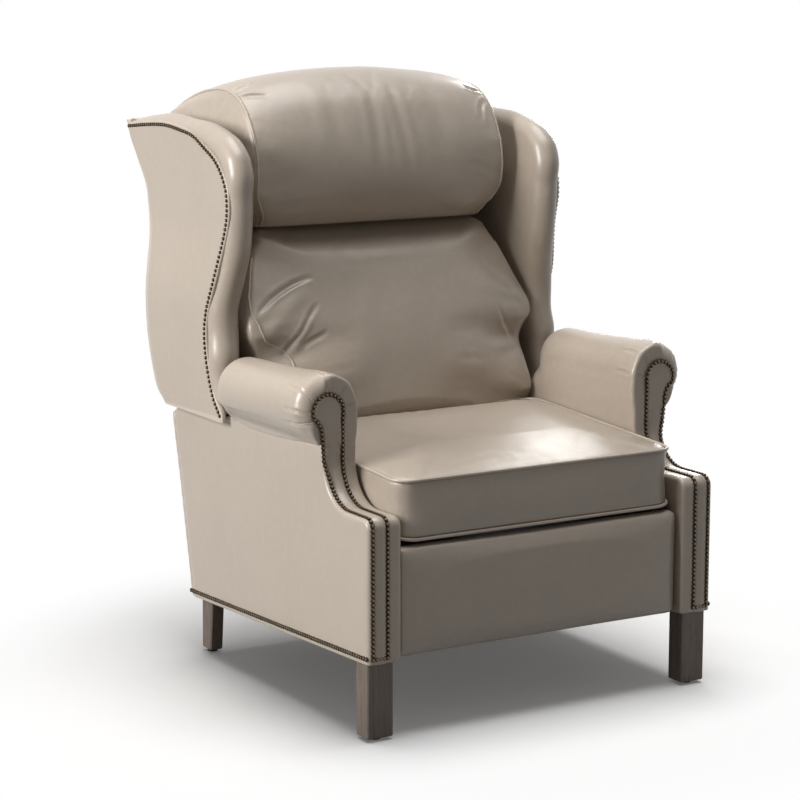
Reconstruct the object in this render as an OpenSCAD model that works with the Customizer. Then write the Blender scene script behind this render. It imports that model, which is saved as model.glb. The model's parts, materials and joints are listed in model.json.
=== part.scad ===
// Wingback push-back recliner: a wooden armchair frame with rolled arms and wings,
// a seat that slides on steel plates, a back that tilts, and a folding footrest.
// The front of the chair faces -Y. The origin is on the floor under the middle.

/* [Overall] */
// Width over the outside arm panels
body_w = 740; // [720:5:760]
// Thickness of one arm, inside face to outside face
arm_w = 71; // [69:1:76]
// Distance from the origin to the front face of the arm columns
front_d = 480; // [476:1:490]
// Height of the underside of the base at the front
base_front_z = 147; // [140:1:152]
// Height of the underside of the base at the rear
base_rear_z = 118; // [112:1:124]
// Height of the top edge of the base sides, hidden behind the wing panels
base_top_z = 497; // [495:1:499]
// Distance from the origin to the rear foot of the base
base_foot_d = 219; // [214:1:222]
// Distance from the origin to the rear top edge of the base
base_rim_d = 295; // [292:1:297]
// Height of the rear top edge of the base, which the reclined back clears
base_rim_z = 473; // [466:1:474]

/* [Legs] */
// Width of a front leg, side to side
front_leg_w = 52; // [44:1:56]
// Depth of a front leg, front to back
front_leg_d = 42; // [36:1:50]
// Inset of the front legs from the outside arm face
front_leg_in = 4; // [2:1:8]
// Set-back of the front legs from the front face
front_leg_back = 10; // [6:1:14]
// Width of a rear leg, side to side
rear_leg_w = 27; // [24:1:34]
// Depth of a rear leg at the top
rear_leg_d = 46; // [40:1:50]
// Depth of a rear leg at the floor
rear_leg_foot = 37; // [30:1:40]
// Inset of the rear legs from the outside arm face
rear_leg_in = 24; // [18:1:30]
// Set-forward of the rear legs from the rear foot of the base
rear_leg_fwd = 2; // [0:1:6]
// Rake of the rear leg's back face
rear_leg_rake = 2; // [0:1:6]
// Height of a nail-on glide
glide_h = 6; // [4:1:8]
// Radius of a glide
glide_r = 10; // [8:0.5:12]

/* [Arms] */
// Height of the shelf where the column turns back to the arm
shelf_z = 400; // [394:1:406]
// Radius of the column's front top edge
shelf_edge_r = 18; // [12:1:24]
// Radius of the hollow scroll above the shelf
scroll_r = 77; // [70:1:80]
// Set-back of the arm's arch from the front face
arch_back = 157; // [150:1:164]
// Thickness of the padded facing
facing_t = 10; // [8:1:12]
// Height of the arm panels under the roll
arm_top_z = 503; // [501:1:506]
// Radius of the arm roll
roll_r = 57.5; // [54:0.5:59]
// Height of the roll's axis at the front
roll_z = 572; // [568:1:576]
// Distance of the roll's axis inside the outside arm face
roll_in = 9.5; // [8:0.5:12]
// Distance from the origin to the rear end of the roll
roll_rear = 30; // [20:1:32]
// Fall of the roll's axis towards the rear, degrees
roll_fall = 1.8; // [0:0.1:2]
// Rounding of the roll's front edge
roll_front_r = 26; // [20:1:30]
// Rounding of the roll's rear end
roll_rear_r = 46; // [30:1:50]
// Radius of the arch facing
arch_r = 38; // [34:0.5:40]
// Thickness of the plywood arm core
core_t = 18; // [15:1:20]
// Thickness of the outside arm panel
outside_t = 22; // [18:1:24]

/* [Seat] */
// Clearance between the cushion and each arm
cushion_gap = 9; // [6:1:12]
// Set-back of the cushion from the front face
cushion_back = 19; // [17:1:24]
// Height of the cushion's bottom welt
cushion_bottom_z = 353; // [350:1:356]
// Height of the cushion's top welt at the front
cushion_top_z = 457; // [452:1:462]
// Rise of the cushion's top towards the middle and rear
cushion_rise = 24; // [16:1:28]
// Crown of the cushion above its welt
cushion_crown = 9; // [4:1:14]
// How far the cushion's sides are drawn in
cushion_draw = 5; // [2:1:8]
// Distance from the origin to the rear end of the cushion
cushion_rear = 21; // [16:1:22]
// Height of the seat frame's underside
seat_z = 305; // [303:1:308]
// Height of the seat rails
seat_rail_h = 40; // [38:1:42]
// Thickness of the seat rails
seat_rail_t = 28; // [24:1:32]
// Set-back of the seat frame from the front face
seat_back = 60; // [56:1:64]
// Distance from the origin to the rear of the seat frame
seat_rear = 15; // [12:1:18]
// Gauge of the zigzag spring wire
spring_d = 3.8; // [3.4:0.1:4.2]
// Number of zigzag springs
spring_n = 5; // [4:1:6]
// Width of one zigzag spring
spring_w = 46; // [40:1:54]
// Number of bends in one zigzag spring
spring_bends = 17; // [13:2:19]

/* [Back] */
// Clearance between the back's bracket and the rear panel of the base
bracket_clear = 2.5; // [2:0.5:4]
// Height of the back's pivot
pivot_z = 482; // [481:1:483]
// Largest recline of the back, degrees
recline = 24; // [18:1:24]
// Distance from the origin to the lower rear edge of the back
back_low_d = 300; // [298:1:304]
// Height of the lower rear edge of the back
back_low_z = 500; // [498:1:504]
// How far the back sweeps rearwards from its lower edge
back_sweep = 178; // [170:1:184]
// Height of the top edge of the outside back
back_top_z = 1032; // [1020:1:1044]
// Thickness of the outside back panel
back_skin = 10; // [8:1:12]
// Depth of the back posts
post_d = 42; // [36:1:46]
// Width of the back posts above the brackets
post_w = 44; // [40:1:45]
// Distance inwards from an arm's inner face to a back post
post_side = 37; // [35:1:41]
// Thickness of the padded inside back
inside_back_t = 48; // [40:1:56]

/* [Wings] */
// How far a wing's top stands out past the arm's side
wing_top_out = 0; // [-4:1:4]
// How far a wing's waist stands out past the arm's side
wing_low_out = 18; // [14:1:22]
// Thickness of the outside wing panel
wing_skin = 8; // [6:1:9]
// Thickness of the wing from outside to inside face
wing_t = 62; // [56:1:64]
// Height of the bottom edge of the wing panel
wing_bottom_z = 489; // [487:1:491]
// Height of the bottom edge of the wing pad
wing_pad_z = 506; // [505:1:510]
// Depth of the wing from its foremost nail row to the top rear corner
wing_depth = 438; // [430:1:444]
// How far the rolled front edge stands beyond the nail row
wing_roll = 26; // [18:1:30]

/* [Cushions of the back] */
// Distance from the origin to the lumbar cushion's face at the seat
lumbar_front = 27; // [25:1:32]
// Lean of the lumbar cushion's face, as run over rise
lumbar_lean = 0.27; // [0.22:0.01:0.3]
// Height of the lumbar cushion's lower end
lumbar_bottom_z = 388; // [386:1:396]
// Height of the lumbar cushion's upper end
lumbar_top_z = 836; // [828:1:837]
// Clearance between the lumbar cushion and each arm
lumbar_side = 11; // [9:1:19]
// How far the lumbar cushion laps over each arm
lumbar_lap = 19; // [9:1:21]
// Thickness of the lumbar cushion
lumbar_t = 150; // [140:1:152]
// Distance inwards from an arm's inner face to the headrest's end
head_side = 18; // [13:1:27]
// Height of the headrest's crown above the top edge of the back
head_rise = 104; // [90:1:118]
// Height of the headrest's ends above the top edge of the back
head_end_rise = 55; // [40:1:68]
// Clearance between the headrest and the lumbar cushion
head_gap = 2; // [1:1:6]
// Distance from the origin to the headrest's foremost face
head_front = 98; // [90:1:106]

/* [Steel plates] */
// Thickness of a scissor link and of the seat bracket
link_t = 3; // [2.5:0.5:3]
// Clearance between neighbouring steel layers
layer_gap = 1; // [0.5:0.5:1]
// Clearance on each side of the back's bracket
bracket_gap = 2; // [1.5:0.5:2]
// Thickness of the base side plate
plate_t = 4; // [3:0.5:5]
// Height of the slide slots
slide_z = 270; // [266:1:272]
// Radius of a slide roller
roller_r = 6; // [5:0.5:7]
// Set-back of the front slide roller from the front face
roller_back = 180; // [170:1:190]
// Distance from the origin to the rear slide roller
roller_rear = 40; // [30:1:60]
// Distance from the pivot down to the drive pin
drive_arm = 106; // [100:1:108]
// Radius of the drive pin
drive_pin_r = 5; // [4:0.5:6]
// Clearance of the drive pin in its slot, each side
drive_play = 1.6; // [1.4:0.1:2]
// Running clearance of a bored pivot, on the radius
pin_play = 0.05; // [0.03:0.01:0.08]

/* [Footrest] */
// Length of a scissor link, pivot to pivot
link_l = 160; // [154:1:162]
// Width of a scissor link
link_w = 14; // [12:0.5:14]
// Angle of the links below the horizontal with the footrest folded, degrees
fold_angle = 84; // [83:0.5:85]
// Angle of the links below the horizontal with the footrest out, degrees
reach_angle = 7; // [6:0.5:20]
// Set-back of the first scissor pivot from the front face
scissor_back = 94; // [92:1:96]
// Height of the first scissor pivot
scissor_z = 322; // [320:1:324]
// Radius of a scissor pin
rivet_r = 4; // [3:0.5:4.5]
// Clearance of a scissor pin that only guides, on the radius
guide_play = 1; // [0.5:0.25:1.5]
// Clearance between the footrest and each arm column
footrest_gap = 3; // [2:0.5:5]
// Height of the footrest's lower edge
footrest_bottom_z = 148; // [144:1:152]
// Height of the footrest's upper edge
footrest_top_z = 339; // [336:1:342]
// Thickness of the footrest board
board_t = 15; // [12:1:16]
// Thickness of the footrest padding
pad_t = 15; // [12:1:18]

/* [Hidden] */
$fn = 48;

// One overrun serves every cut.
cut = 2;
// Facets of a blended outline.
curve_n = 5;
// Clearance that keeps two upholstered pieces apart.
seam_gap = 0.5;

leather = "#b9ab9c";
leather_shade = "#a3968a";
wood = "#6f6259";
ply = "#c9ab7c";
steel = "#8d8f93";
dark_steel = "#55575b";
cloth = "#3c3a38";

half_w = body_w / 2;
inner_x = half_w - arm_w;
core_x = half_w - outside_t - core_t;
post_in = inner_x - post_side;
wing_top_x = half_w + wing_top_out;
wing_low_x = half_w + wing_low_out;
lumbar_half = inner_x - lumbar_side;
lumbar_ear = inner_x + lumbar_lap;
head_half = inner_x - head_side;
arch_d = front_d - arch_back;
seat_front = front_d - seat_back;
roller_front = front_d - roller_back;
scissor_d = front_d - scissor_back;
head_top_z = back_top_z + head_rise;
head_end_z = back_top_z + head_end_rise;
head_bottom_z = lumbar_top_z + head_gap;

// The lines that the outlines follow

function mix(a, b, t) = a + (b - a) * t;
function clamp01(t) = min(1, max(0, t));
function ease(t) = let (c = clamp01(t)) c * c * (3 - 2 * c);
function last(v) = v[len(v) - 1];
function flip(v) = [for (i = [len(v) - 1:-1:0]) v[i]];
function arc(c, r, a0, a1, n) =
    [for (i = [0:n]) let (a = mix(a0, a1, i / n)) c + r * [cos(a), sin(a)]];
// A smooth curve through a list of points, n steps to each span.
function spline(p, n) = let (m = len(p) - 1) concat(
    [for (i = [0:m - 1], k = [0:n - 1])
        let (a = p[max(i - 1, 0)], b = p[i], c = p[i + 1], d = p[min(i + 2, m)], t = k / n)
        (2 * b + (c - a) * t + (2 * a - 5 * b + 4 * c - d) * t * t
            + (3 * b - a - 3 * c + d) * t * t * t) / 2],
    [p[m]]);
function shift(p, d) = [for (q = p) q + d];

// Underside of the base, falling to the rear.
function base_z(y) = mix(base_front_z, base_rear_z, (y + front_d) / (front_d + base_foot_d));

// Rear edge of the base, bottom to top.
base_knee_share = [0.171, 0.176];
function base_rear_line(t) = [
    [base_foot_d - t, base_z(base_foot_d - t)],
    [mix(base_foot_d, base_rim_d, base_knee_share[0]) - t,
        mix(base_rear_z, wing_bottom_z, base_knee_share[1])],
    [base_rim_d - t, base_rim_z]];
function base_rear_y(z) = lookup(z, [for (p = base_rear_line(0)) [p[1], p[0]]]);

// The back's bracket just clears the rear panel at the lower end of its drive slot.
rear_panel_t = 12;
eye_r = 15;
eye_trim = 1;
bracket_half = eye_r - eye_trim;
drive_out = drive_arm / cos(recline);
pivot_d = base_rear_y(pivot_z - drive_out - bracket_half) - rear_panel_t - bracket_clear - bracket_half;
pivot = [pivot_d, pivot_z];

// Front line of an arm, bottom to top, at a depth t behind its face.
function arm_front_line(t, z0, z1) = concat(
    [[t - front_d, z0]],
    arc([shelf_edge_r - front_d, shelf_z - shelf_edge_r], max(shelf_edge_r - t, seam_gap), 180, 90, curve_n),
    arc([-arch_d - scroll_r, shelf_z + scroll_r], scroll_r + t, 270, 360, 2 * curve_n),
    [[t - arch_d, z1]]);

// Rear line of the back, bottom to top, as shares of its sweep and height.
back_line_shares = [[0, 0], [0.17, 0.055], [0.354, 0.233], [0.385, 0.42], [0.412, 0.562],
    [0.47, 0.671], [0.534, 0.767], [0.7, 0.842], [0.9, 0.93], [1, 1]];
function back_point(s) = [back_low_d + s[0] * back_sweep, mix(back_low_z, back_top_z, s[1])];
back_line = spline([for (s = back_line_shares) back_point(s)], 2);

// Fronts of the wing: the nail row and the rolled edge, bottom to top, as shares of
// the wing's depth and height. The rear line is shared with the back.
wing_nail_shares = [[0.002, 0.004], [0.07, 0.074], [0.107, 0.133], [0.134, 0.2], [0.148, 0.262],
    [0.148, 0.322], [0.127, 0.383], [0.09, 0.461], [0.058, 0.557], [0.039, 0.617],
    [0.016, 0.671], [0, 0.726], [0.003, 0.785], [0.023, 0.829], [0.066, 0.873],
    [0.124, 0.908], [0.208, 0.94], [0.311, 0.975], [0.419, 0.989], [0.604, 1],
    [0.793, 0.993], [0.96, 0.98]];
wing_front_y = back_low_d + back_sweep - wing_depth;
wing_row_z = back_top_z - seam_gap;
function wing_row(z0) = [for (s = wing_nail_shares)
    [wing_front_y + s[0] * wing_depth, mix(z0, wing_row_z, s[1])]];
// How far the roll stands beyond the nail row, point by point, as shares of wing_roll.
wing_roll_shares = [[0, 0], [-0.45, 0], [-1.05, 0], [-1.7, 0], [-1.7, 0], [-1.6, 0],
    [-1.4, 0], [-1.15, 0], [-1.1, 0], [-1, 0], [-0.85, 0], [-0.75, 0.05], [-0.75, 0.15],
    [-0.7, 0.3], [-0.65, 0.5], [-0.55, 0.65], [-0.4, 0.8], [-0.2, 0.85], [-0.05, 0.8],
    [0, 0.8], [0, 0.75], [0, 0.5]];
function wing_rear(z0, t) = concat(
    [for (s = [0, 0.3, 0.55]) [mix(pivot_d, back_low_d, s), z0]],
    [for (p = back_line) [p[0] - t, max(p[1], z0)]]);
// The outside face flares outwards below the middle of the back.
wing_levels = [for (i = [0:24]) mix(wing_bottom_z - cut, back_top_z + 2 * wing_roll, i / 24)];
wing_profile = [for (z = wing_levels) [z, mix(wing_low_x, wing_top_x,
    ease((z - mix(wing_bottom_z, back_top_z, 0.37)) / ((back_top_z - wing_bottom_z) * 0.32)))]];
function wing_face_x(z) = lookup(z, wing_profile);

// Solids made from lines

// Extrudes an outline in the YZ plane from x0 to x1.
module across(x0, x1) translate([x0, 0, 0]) rotate([90, 0, 90]) linear_extrude(x1 - x0) children();
module panel(x0, x1, outline) across(x0, x1) polygon(outline);
// A round bar along X at the point p = [y, z].
module rod(x0, x1, p, r) translate([x0, p[0], p[1]]) rotate([0, 90, 0]) cylinder(h = x1 - x0, r = r);
// A box by its lowest and highest corners.
module block(a, b) translate(a) cube(b - a);
module on_side(s) if (s < 0) mirror([1, 0, 0]) children(); else children();
module both() { on_side(1) children(); on_side(-1) children(); }

// A closed skin over rings of points. Each ring pairs its point i with the point
// that is i from its end, so that the two end caps are strips. An odd ring ends in
// one triangle.
module skin(rings) {
    n = len(rings[0]);
    m = len(rings);
    points = [for (r = rings, p = r) p];
    walls = [for (k = [0:m - 2], i = [0:n - 1]) let (
            a = k * n + i, b = k * n + (i + 1) % n, c = a + n, d = b + n)
        each [[a, c, b], [b, c, d]]];
    mid = floor(n / 2);
    cap = concat([for (i = [0:mid - 2]) let (a = i, b = i + 1, c = n - 2 - i, d = n - 1 - i)
        each [[a, b, c], [a, c, d]]], n % 2 == 1 ? [[mid - 1, mid, mid + 1]] : []);
    o = (m - 1) * n;
    far_cap = [for (f = cap) [o + f[0], o + f[2], o + f[1]]];
    polyhedron(points = points, faces = concat(walls, cap, far_cap), convexity = 6);
}

// Half of a rounded rectangle of half sizes a and b, then its mirrored half.
function cushion_ring(a, b, r, n) = let (right = concat(
        arc([a - r, r - b], r, -90, 0, n), arc([a - r, b - r], r, 0, 90, n)))
    concat(right, [for (p = flip(right)) [-p[0], p[1]]]);

// Legs

module front_leg(s) on_side(s) color(wood) {
    y0 = front_leg_back - front_d;
    y1 = y0 + front_leg_d;
    x1 = half_w - front_leg_in;
    panel(x1 - front_leg_w, x1, [[y0, glide_h], [y1, glide_h], [y1, base_z(y1)], [y0, base_z(y0)]]);
}

rear_leg_y = base_foot_d - rear_leg_fwd;
module rear_leg(s) on_side(s) color(wood) {
    x1 = half_w - rear_leg_in;
    y1 = rear_leg_y;
    y0 = y1 - rear_leg_d;
    panel(x1 - rear_leg_w, x1, [
        [y1 + rear_leg_rake - rear_leg_foot, glide_h], [y1 + rear_leg_rake, glide_h],
        [y1, base_z(y1)], [y0, base_z(y0)]]);
}

module leg_glides() color(dark_steel) both() {
    translate([half_w - front_leg_in - front_leg_w / 2, front_leg_back + front_leg_d / 2 - front_d, 0])
        cylinder(h = glide_h, r = glide_r);
    translate([half_w - rear_leg_in - rear_leg_w / 2, rear_leg_y + rear_leg_rake - rear_leg_foot / 2, 0])
        cylinder(h = glide_h, r = glide_r);
}

// Base and arms

// Outline of an arm and base side in the YZ plane, behind the facing.
function side_outline() = concat(
    arm_front_line(facing_t, base_z(facing_t - front_d), arm_top_z),
    [[arm_step_y, arm_top_z], [arm_step_y + arm_top_z - base_top_z, base_top_z], [pivot_d, base_top_z]],
    flip(base_rear_line(rear_panel_t)));
arm_step_y = roll_rear - roll_rear_r / 4;

module arm_core(s) on_side(s) color(ply) panel(core_x, core_x + core_t, side_outline());

module outside_arm(s) on_side(s) color(leather) panel(half_w - outside_t, half_w, side_outline());

// The padded inside face reaches down to the footrest's links at the front only.
plate_half = 20;
layer_room = 10;
arm_pad_low_z = slide_z - plate_half - layer_room;
arm_pad_rear_y = pivot_d - eye_r - layer_room / 2;
arm_pad_column_d = 60;
module inside_arm(s) on_side(s) color(leather_shade)
    panel(inner_x, core_x, concat(
        arm_front_line(facing_t, base_z(facing_t - front_d), arm_top_z),
        [[arm_step_y, arm_top_z], [arm_step_y + arm_top_z - base_top_z, base_top_z],
            [arm_pad_rear_y, base_top_z], [arm_pad_rear_y, arm_pad_low_z],
            [facing_t + arm_pad_column_d - front_d, arm_pad_low_z],
            [facing_t + arm_pad_column_d - front_d, base_z(facing_t + arm_pad_column_d - front_d)]]));

roll_x = half_w - roll_in;
roll_face_y = facing_t - arch_d;
roll_lead = 2 * roll_r * sin(roll_fall);
module arm_roll(s) on_side(s) color(leather) difference() {
    union() {
        translate([roll_x, roll_face_y - roll_lead, roll_z])
            rotate([-90 - roll_fall, 0, 0]) rotate_extrude() {
            roll_l = roll_rear - roll_face_y + roll_lead;
            polygon(concat(
                [[0, 0]],
                arc([roll_r - roll_front_r, roll_front_r], roll_front_r, -90, 0, curve_n),
                arc([roll_r - roll_rear_r, roll_l - roll_rear_r], roll_rear_r, 0, 90, 2 * curve_n),
                [[0, roll_l]]));
        }
        block([inner_x + roll_neck_in, roll_face_y, arm_top_z], [half_w, arm_step_y, roll_z]);
    }
    // The roll's face is square to the facing.
    block([inner_x - roll_r, roll_face_y - roll_r, roll_z - 2 * roll_r],
        [half_w + roll_r, roll_face_y, roll_z + 2 * roll_r]);
    // The roll is seated flat on the arm panels.
    block([inner_x - roll_r, roll_face_y - roll_r, arm_top_z - 2 * roll_r],
        [half_w + roll_r, roll_rear + roll_r, arm_top_z]);
}
roll_neck_in = 5;

module arm_facing(s) on_side(s) color(leather_shade) {
    stem_z = roll_z - arch_r / 2;
    panel(inner_x, half_w, concat(
        arm_front_line(0, base_z(-front_d), arm_top_z),
        flip(arm_front_line(facing_t, base_z(facing_t - front_d), arm_top_z))));
    block([roll_x - stem_half, -arch_d, arm_top_z], [roll_x + stem_half, roll_face_y, stem_z]);
    translate([roll_x, -arch_d, roll_z - arch_drop]) rotate([-90, 0, 0]) cylinder(h = facing_t, r = arch_r);
}
stem_half = 24;
arch_drop = 10;

// Rails between the two sides
rail_t = 22;
stretcher_h = 50;
stretcher_back = 128;
stretcher_y = stretcher_back - front_d;
module front_stretcher() color(ply)
    panel(-core_x, core_x, let (y0 = stretcher_y, y1 = stretcher_y + rail_t) [
        [y0, base_z(y0)], [y1, base_z(y1)], [y1, base_z(y1) + stretcher_h], [y0, base_z(y0) + stretcher_h]]);

rear_rail_y = base_foot_d - rear_panel_t - rail_t;
module rear_stretcher() color(ply)
    panel(-core_x, core_x, let (y0 = rear_rail_y, y1 = rear_rail_y + rail_t) [
        [y0, base_z(y0)], [y1, base_z(y1)], [y1, base_z(y1) + stretcher_h], [y0, base_z(y0) + stretcher_h]]);

block_l = 70;
block_h = 36;
module corner_block(x0, x1, y0, y1) panel(x0, x1, [
    [y0, base_z(y0)], [y1, base_z(y1)], [y1, base_z(y1) + block_h], [y0, base_z(y0) + block_h]]);
module corner_blocks() color(ply) both() {
    corner_block(core_x - block_l, core_x, stretcher_y + rail_t, stretcher_y + rail_t + block_l / 2);
    corner_block(core_x - block_l, core_x, rear_rail_y - block_l, rear_rail_y);
}

module base_rear_panel() color(leather) panel(-half_w, half_w, concat(
    base_rear_line(0), flip(base_rear_line(rear_panel_t))));

// Steel plates of the base

slide_l = drive_arm * tan(recline);
// Steel layers inwards from the arm: side plate, the back's bracket, rise links, drop
// links, seat bracket.
plate_x = inner_x - plate_t;
back_plate_x = plate_x - layer_gap - bracket_gap - link_t;
rise_x = back_plate_x - bracket_gap - link_t;
drop_x = rise_x - layer_gap - link_t;
bracket_x = drop_x - layer_gap - link_t;
seat_half = bracket_x;
plate_low_z = slide_z - plate_half;
plate_high_z = slide_z + plate_half;
plate_front_y = -roller_front - slide_l - plate_half;
plate_rear_y = 3 * plate_half;
pivot_pin_r = 6;
// A flat arm of width w from q to p. The eyes at its ends are wider than the arm.
module flat_arm(x0, x1, q, p, w) let (d = p - q, a = atan2(d[1], d[0]))
    translate([0, q[0], q[1]]) rotate([a, 0, 0]) block([x0, 0, -w / 2], [x1, norm(d), w / 2]);
// An upright or level slot that lets a pin of radius r run from p to q.
module slot(x0, x1, p, q, r) block([x0, min(p[0], q[0]) - r, min(p[1], q[1]) - r],
    [x1, max(p[0], q[0]) + r, max(p[1], q[1]) + r]);
// How much narrower an arm is than the eyes at its ends.
arm_neck = 3;

module side_plate(s) on_side(s) color(steel) difference() {
    union() {
        block([plate_x, plate_front_y, plate_low_z], [inner_x, plate_rear_y, plate_high_z]);
        flat_arm(plate_x, inner_x, [plate_rear_y - 2 * eye_r, slide_z], pivot, 2 * eye_r - arm_neck);
        rod(plate_x, inner_x, pivot, eye_r);
    }
    rod(plate_x - cut, inner_x + cut, pivot, pivot_pin_r);
    for (y = [-roller_front, -roller_rear])
        slot(plate_x - cut, inner_x + cut, [y, slide_z], [y - slide_l, slide_z], roller_r + roller_play);
}
roller_play = 0.4;

// The spreader is an angle bar under the two side plates.
spreader_share = 6 / 13;
spreader_y = mix(-roller_front, -roller_rear, spreader_share);
spreader_w = 30;
spreader_t = 4;
module plate_spreader() color(steel) {
    block([-inner_x, spreader_y, plate_low_z - spreader_t], [inner_x, spreader_y + spreader_w, plate_low_z]);
    block([-inner_x, spreader_y, plate_low_z - spreader_w / 2],
        [inner_x, spreader_y + spreader_t, plate_low_z - spreader_t]);
}

// A pin is pressed into its side plate, with a collar between plate and bracket.
module back_pivot_pins() color(dark_steel) both() {
    rod(back_plate_x + layer_gap / 4, inner_x, pivot, pivot_pin_r);
    rod(back_plate_x + link_t + layer_gap / 4, plate_x, pivot, pivot_pin_r + collar_w);
}
collar_w = 4;

// Seat

seat_top_z = seat_z + seat_rail_h;
module seat_frame() color(ply) difference() {
    block([-seat_half, -seat_front, seat_z], [seat_half, seat_rear, seat_top_z]);
    block([seat_rail_t - seat_half, seat_rail_t - seat_front, seat_z - cut],
        [seat_half - seat_rail_t, seat_rear - seat_rail_t, seat_top_z + cut]);
}

// Room between the outer springs and the side rails.
spring_side = 20;
// How far a spring's ends lie on the rails.
spring_hook = 14;
// Zigzag springs: an unbroken wire of half circles joined by straights, flat in plan.
spring_l = seat_front + seat_rear - 2 * seat_rail_t;
spring_pitch = spring_l / (spring_bends + 1);
function zigzag(i) = let (
        y = seat_rail_t - seat_front + spring_pitch * (i + 1),
        side = i % 2 == 0 ? 1 : -1, r = spring_pitch / 2)
    [for (k = [0:4]) let (a = -90 + 45 * k)
        [side * (spring_w / 2 - r + r * cos(a)), y + r * sin(a)]];
spring_path = concat(
    [[0, seat_rail_t - seat_front - spring_hook]],
    [[0, seat_rail_t - seat_front + spring_pitch / 2]],
    [for (i = [0:spring_bends - 1]) each zigzag(i)],
    [[0, seat_rear - seat_rail_t - spring_pitch / 2]],
    [[0, seat_rear - seat_rail_t + spring_hook]]);
function spring_normal(p, i) = let (
        a = p[max(i - 1, 0)], b = p[min(i + 1, len(p) - 1)], d = (b - a) / norm(b - a))
    [-d[1], d[0]];
spring_outline = let (p = spring_path, r = spring_d / 2) concat(
    [for (i = [0:len(p) - 1]) p[i] + r * spring_normal(p, i)],
    flip([for (i = [0:len(p) - 1]) p[i] - r * spring_normal(p, i)]));
spring_span = 2 * (seat_half - seat_rail_t - spring_w / 2 - spring_side);
function spring_x(i) = spring_span * (i / (spring_n - 1) - 0.5);
module seat_springs() color(dark_steel) for (i = [0:spring_n - 1])
    translate([spring_x(i), 0, seat_top_z]) linear_extrude(spring_d) polygon(spring_outline);

clip_w = 22;
clip_t = 1.5;
module spring_clips() color(steel) for (i = [0:spring_n - 1], y = [-seat_front, seat_rear - seat_rail_t])
    translate([spring_x(i) - clip_w / 2, y + seat_rail_t / 4, seat_top_z + spring_d])
        cube([clip_w, seat_rail_t / 2, clip_t]);

deck_z = seat_top_z + spring_d + clip_t;
module seat_deck() color(cloth)
    block([-seat_half, -seat_front, deck_z], [seat_half, seat_rear, cushion_bottom_z]);

module seat_cushion() color(leather) {
    a = inner_x - cushion_gap;
    b = (front_d - cushion_back + cushion_rear) / 2;
    mid_y = cushion_rear - b;
    h = cushion_top_z - cushion_bottom_z;
    skin([for (k = cushion_shares) let (i = k[0] * b + k[1] * cushion_draw, z = cushion_bottom_z
            + h * k[2] + cushion_crown * k[3])
        [for (p = cushion_ring(a - i, b - i, min(corner_r + i / 3, b - i - seam_gap), 6))
            [p[0], p[1] + mid_y, z + k[4] * cushion_lift(p[1] / b)]]]);
}
// Rings of the seat cushion, bottom to top: inset as a share of its half depth, then of
// the draw of its sides, then its height, crown and rise.
cushion_shares = [[0.25, 0, 0, 0, 0], [0.05, 0, 0, 0, 0], [0, 0, 0.1, 0, 0], [0, 0.7, 0.3, 0, 0],
    [0, 1, 0.55, 0, 0.3], [0, 0.6, 0.8, 0, 0.8], [0, 0, 1, 0, 1], [0.06, 0, 1, 0.3, 1], [0.19, 0, 1, 0.6, 1],
    [0.41, 0, 1, 0.84, 1], [0.7, 0, 1, 0.96, 1], [0.95, 0, 1, 1, 1]];
// The cushion's top rises from its front edge and dips a little at the rear.
function cushion_lift(y) = cushion_rise * ease((y + 1) / 1.2) * (1 - 0.35 * ease(y - 0.5));
corner_r = 14;

// Steel plates of the seat

scissor = [-scissor_d, scissor_z];
function link_end(a) = [-link_l * cos(a), -link_l * sin(a)];
drive_pin = [pivot_d, pivot_z - drive_arm];
leg_fore = 8;
leg_aft = 16;
bracket_arm_w = 24;

module seat_bracket(s) on_side(s) color(steel) difference() {
    x0 = bracket_x;
    x1 = bracket_x + link_t;
    union() {
        block([x0, -scissor_d - leg_fore, seat_z], [x1, seat_rear, seat_top_z]);
        block([x0, -roller_front - bracket_arm_w, plate_low_z + layer_gap],
            [x1, -roller_rear + bracket_arm_w, seat_top_z]);
        block([x0, -scissor_d - leg_fore, footrest_bottom_z + 2 * layer_gap],
            [x1, -scissor_d + leg_aft, seat_top_z]);
        flat_arm(x0, x1, [seat_rear - bracket_arm_w, seat_z + seat_rail_h / 2], drive_pin,
            bracket_arm_w - arm_neck);
        rod(x0, x1, drive_pin, bracket_arm_w / 2);
    }
    rod(x0 - cut, x1 + cut, scissor, rivet_r + pin_play);
    slot(x0 - cut, x1 + cut, scissor - [0, link_l * sin(fold_angle)],
        scissor - [0, link_l * sin(reach_angle)], rivet_r + guide_play / 4);
}

module slide_rollers() color(dark_steel) both() for (y = [-roller_front, -roller_rear])
    rod(bracket_x + link_t, inner_x - layer_gap, [y, slide_z], roller_r);

module drive_pins() color(dark_steel) both()
    rod(bracket_x + link_t, plate_x - layer_gap, drive_pin, drive_pin_r);

// Footrest scissors, drawn folded. A drop link leans down and forward, a rise link
// leans up and forward, and each pair crosses at its middle.

fold = link_end(fold_angle);
up = [fold[0], -fold[1]];
p1 = scissor + fold;
b1 = [scissor[0], p1[1]];
q1 = [p1[0], scissor[1]];
p2 = q1 + fold;
q2 = p1 + up;
m1 = (scissor + p1) / 2;
m2 = (q1 + p2) / 2;
m3 = q2 + fold / 2;

// A flat link with round ends and a bore at each point of holes.
module link(x0, a, b, holes, play) difference() {
    union() {
        flat_arm(x0, x0 + link_t, a, b, link_w - arm_neck);
        rod(x0, x0 + link_t, a, link_w / 2);
        rod(x0, x0 + link_t, b, link_w / 2);
    }
    for (h = holes) rod(x0 - cut, x0 + link_t + cut, h, rivet_r + play);
}

// The first pivot's pins ride on the links and turn in the seat brackets.
module rear_drop_links() color(steel) both() {
    link(drop_x, scissor, p1, [], 0);
    rod(bracket_x + layer_gap / 4, drop_x, scissor, rivet_r);
    rod(drop_x + link_t, rise_x + link_t, m1, rivet_r);
    rod(drop_x + link_t, rise_x + link_t, p1, rivet_r);
}

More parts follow.
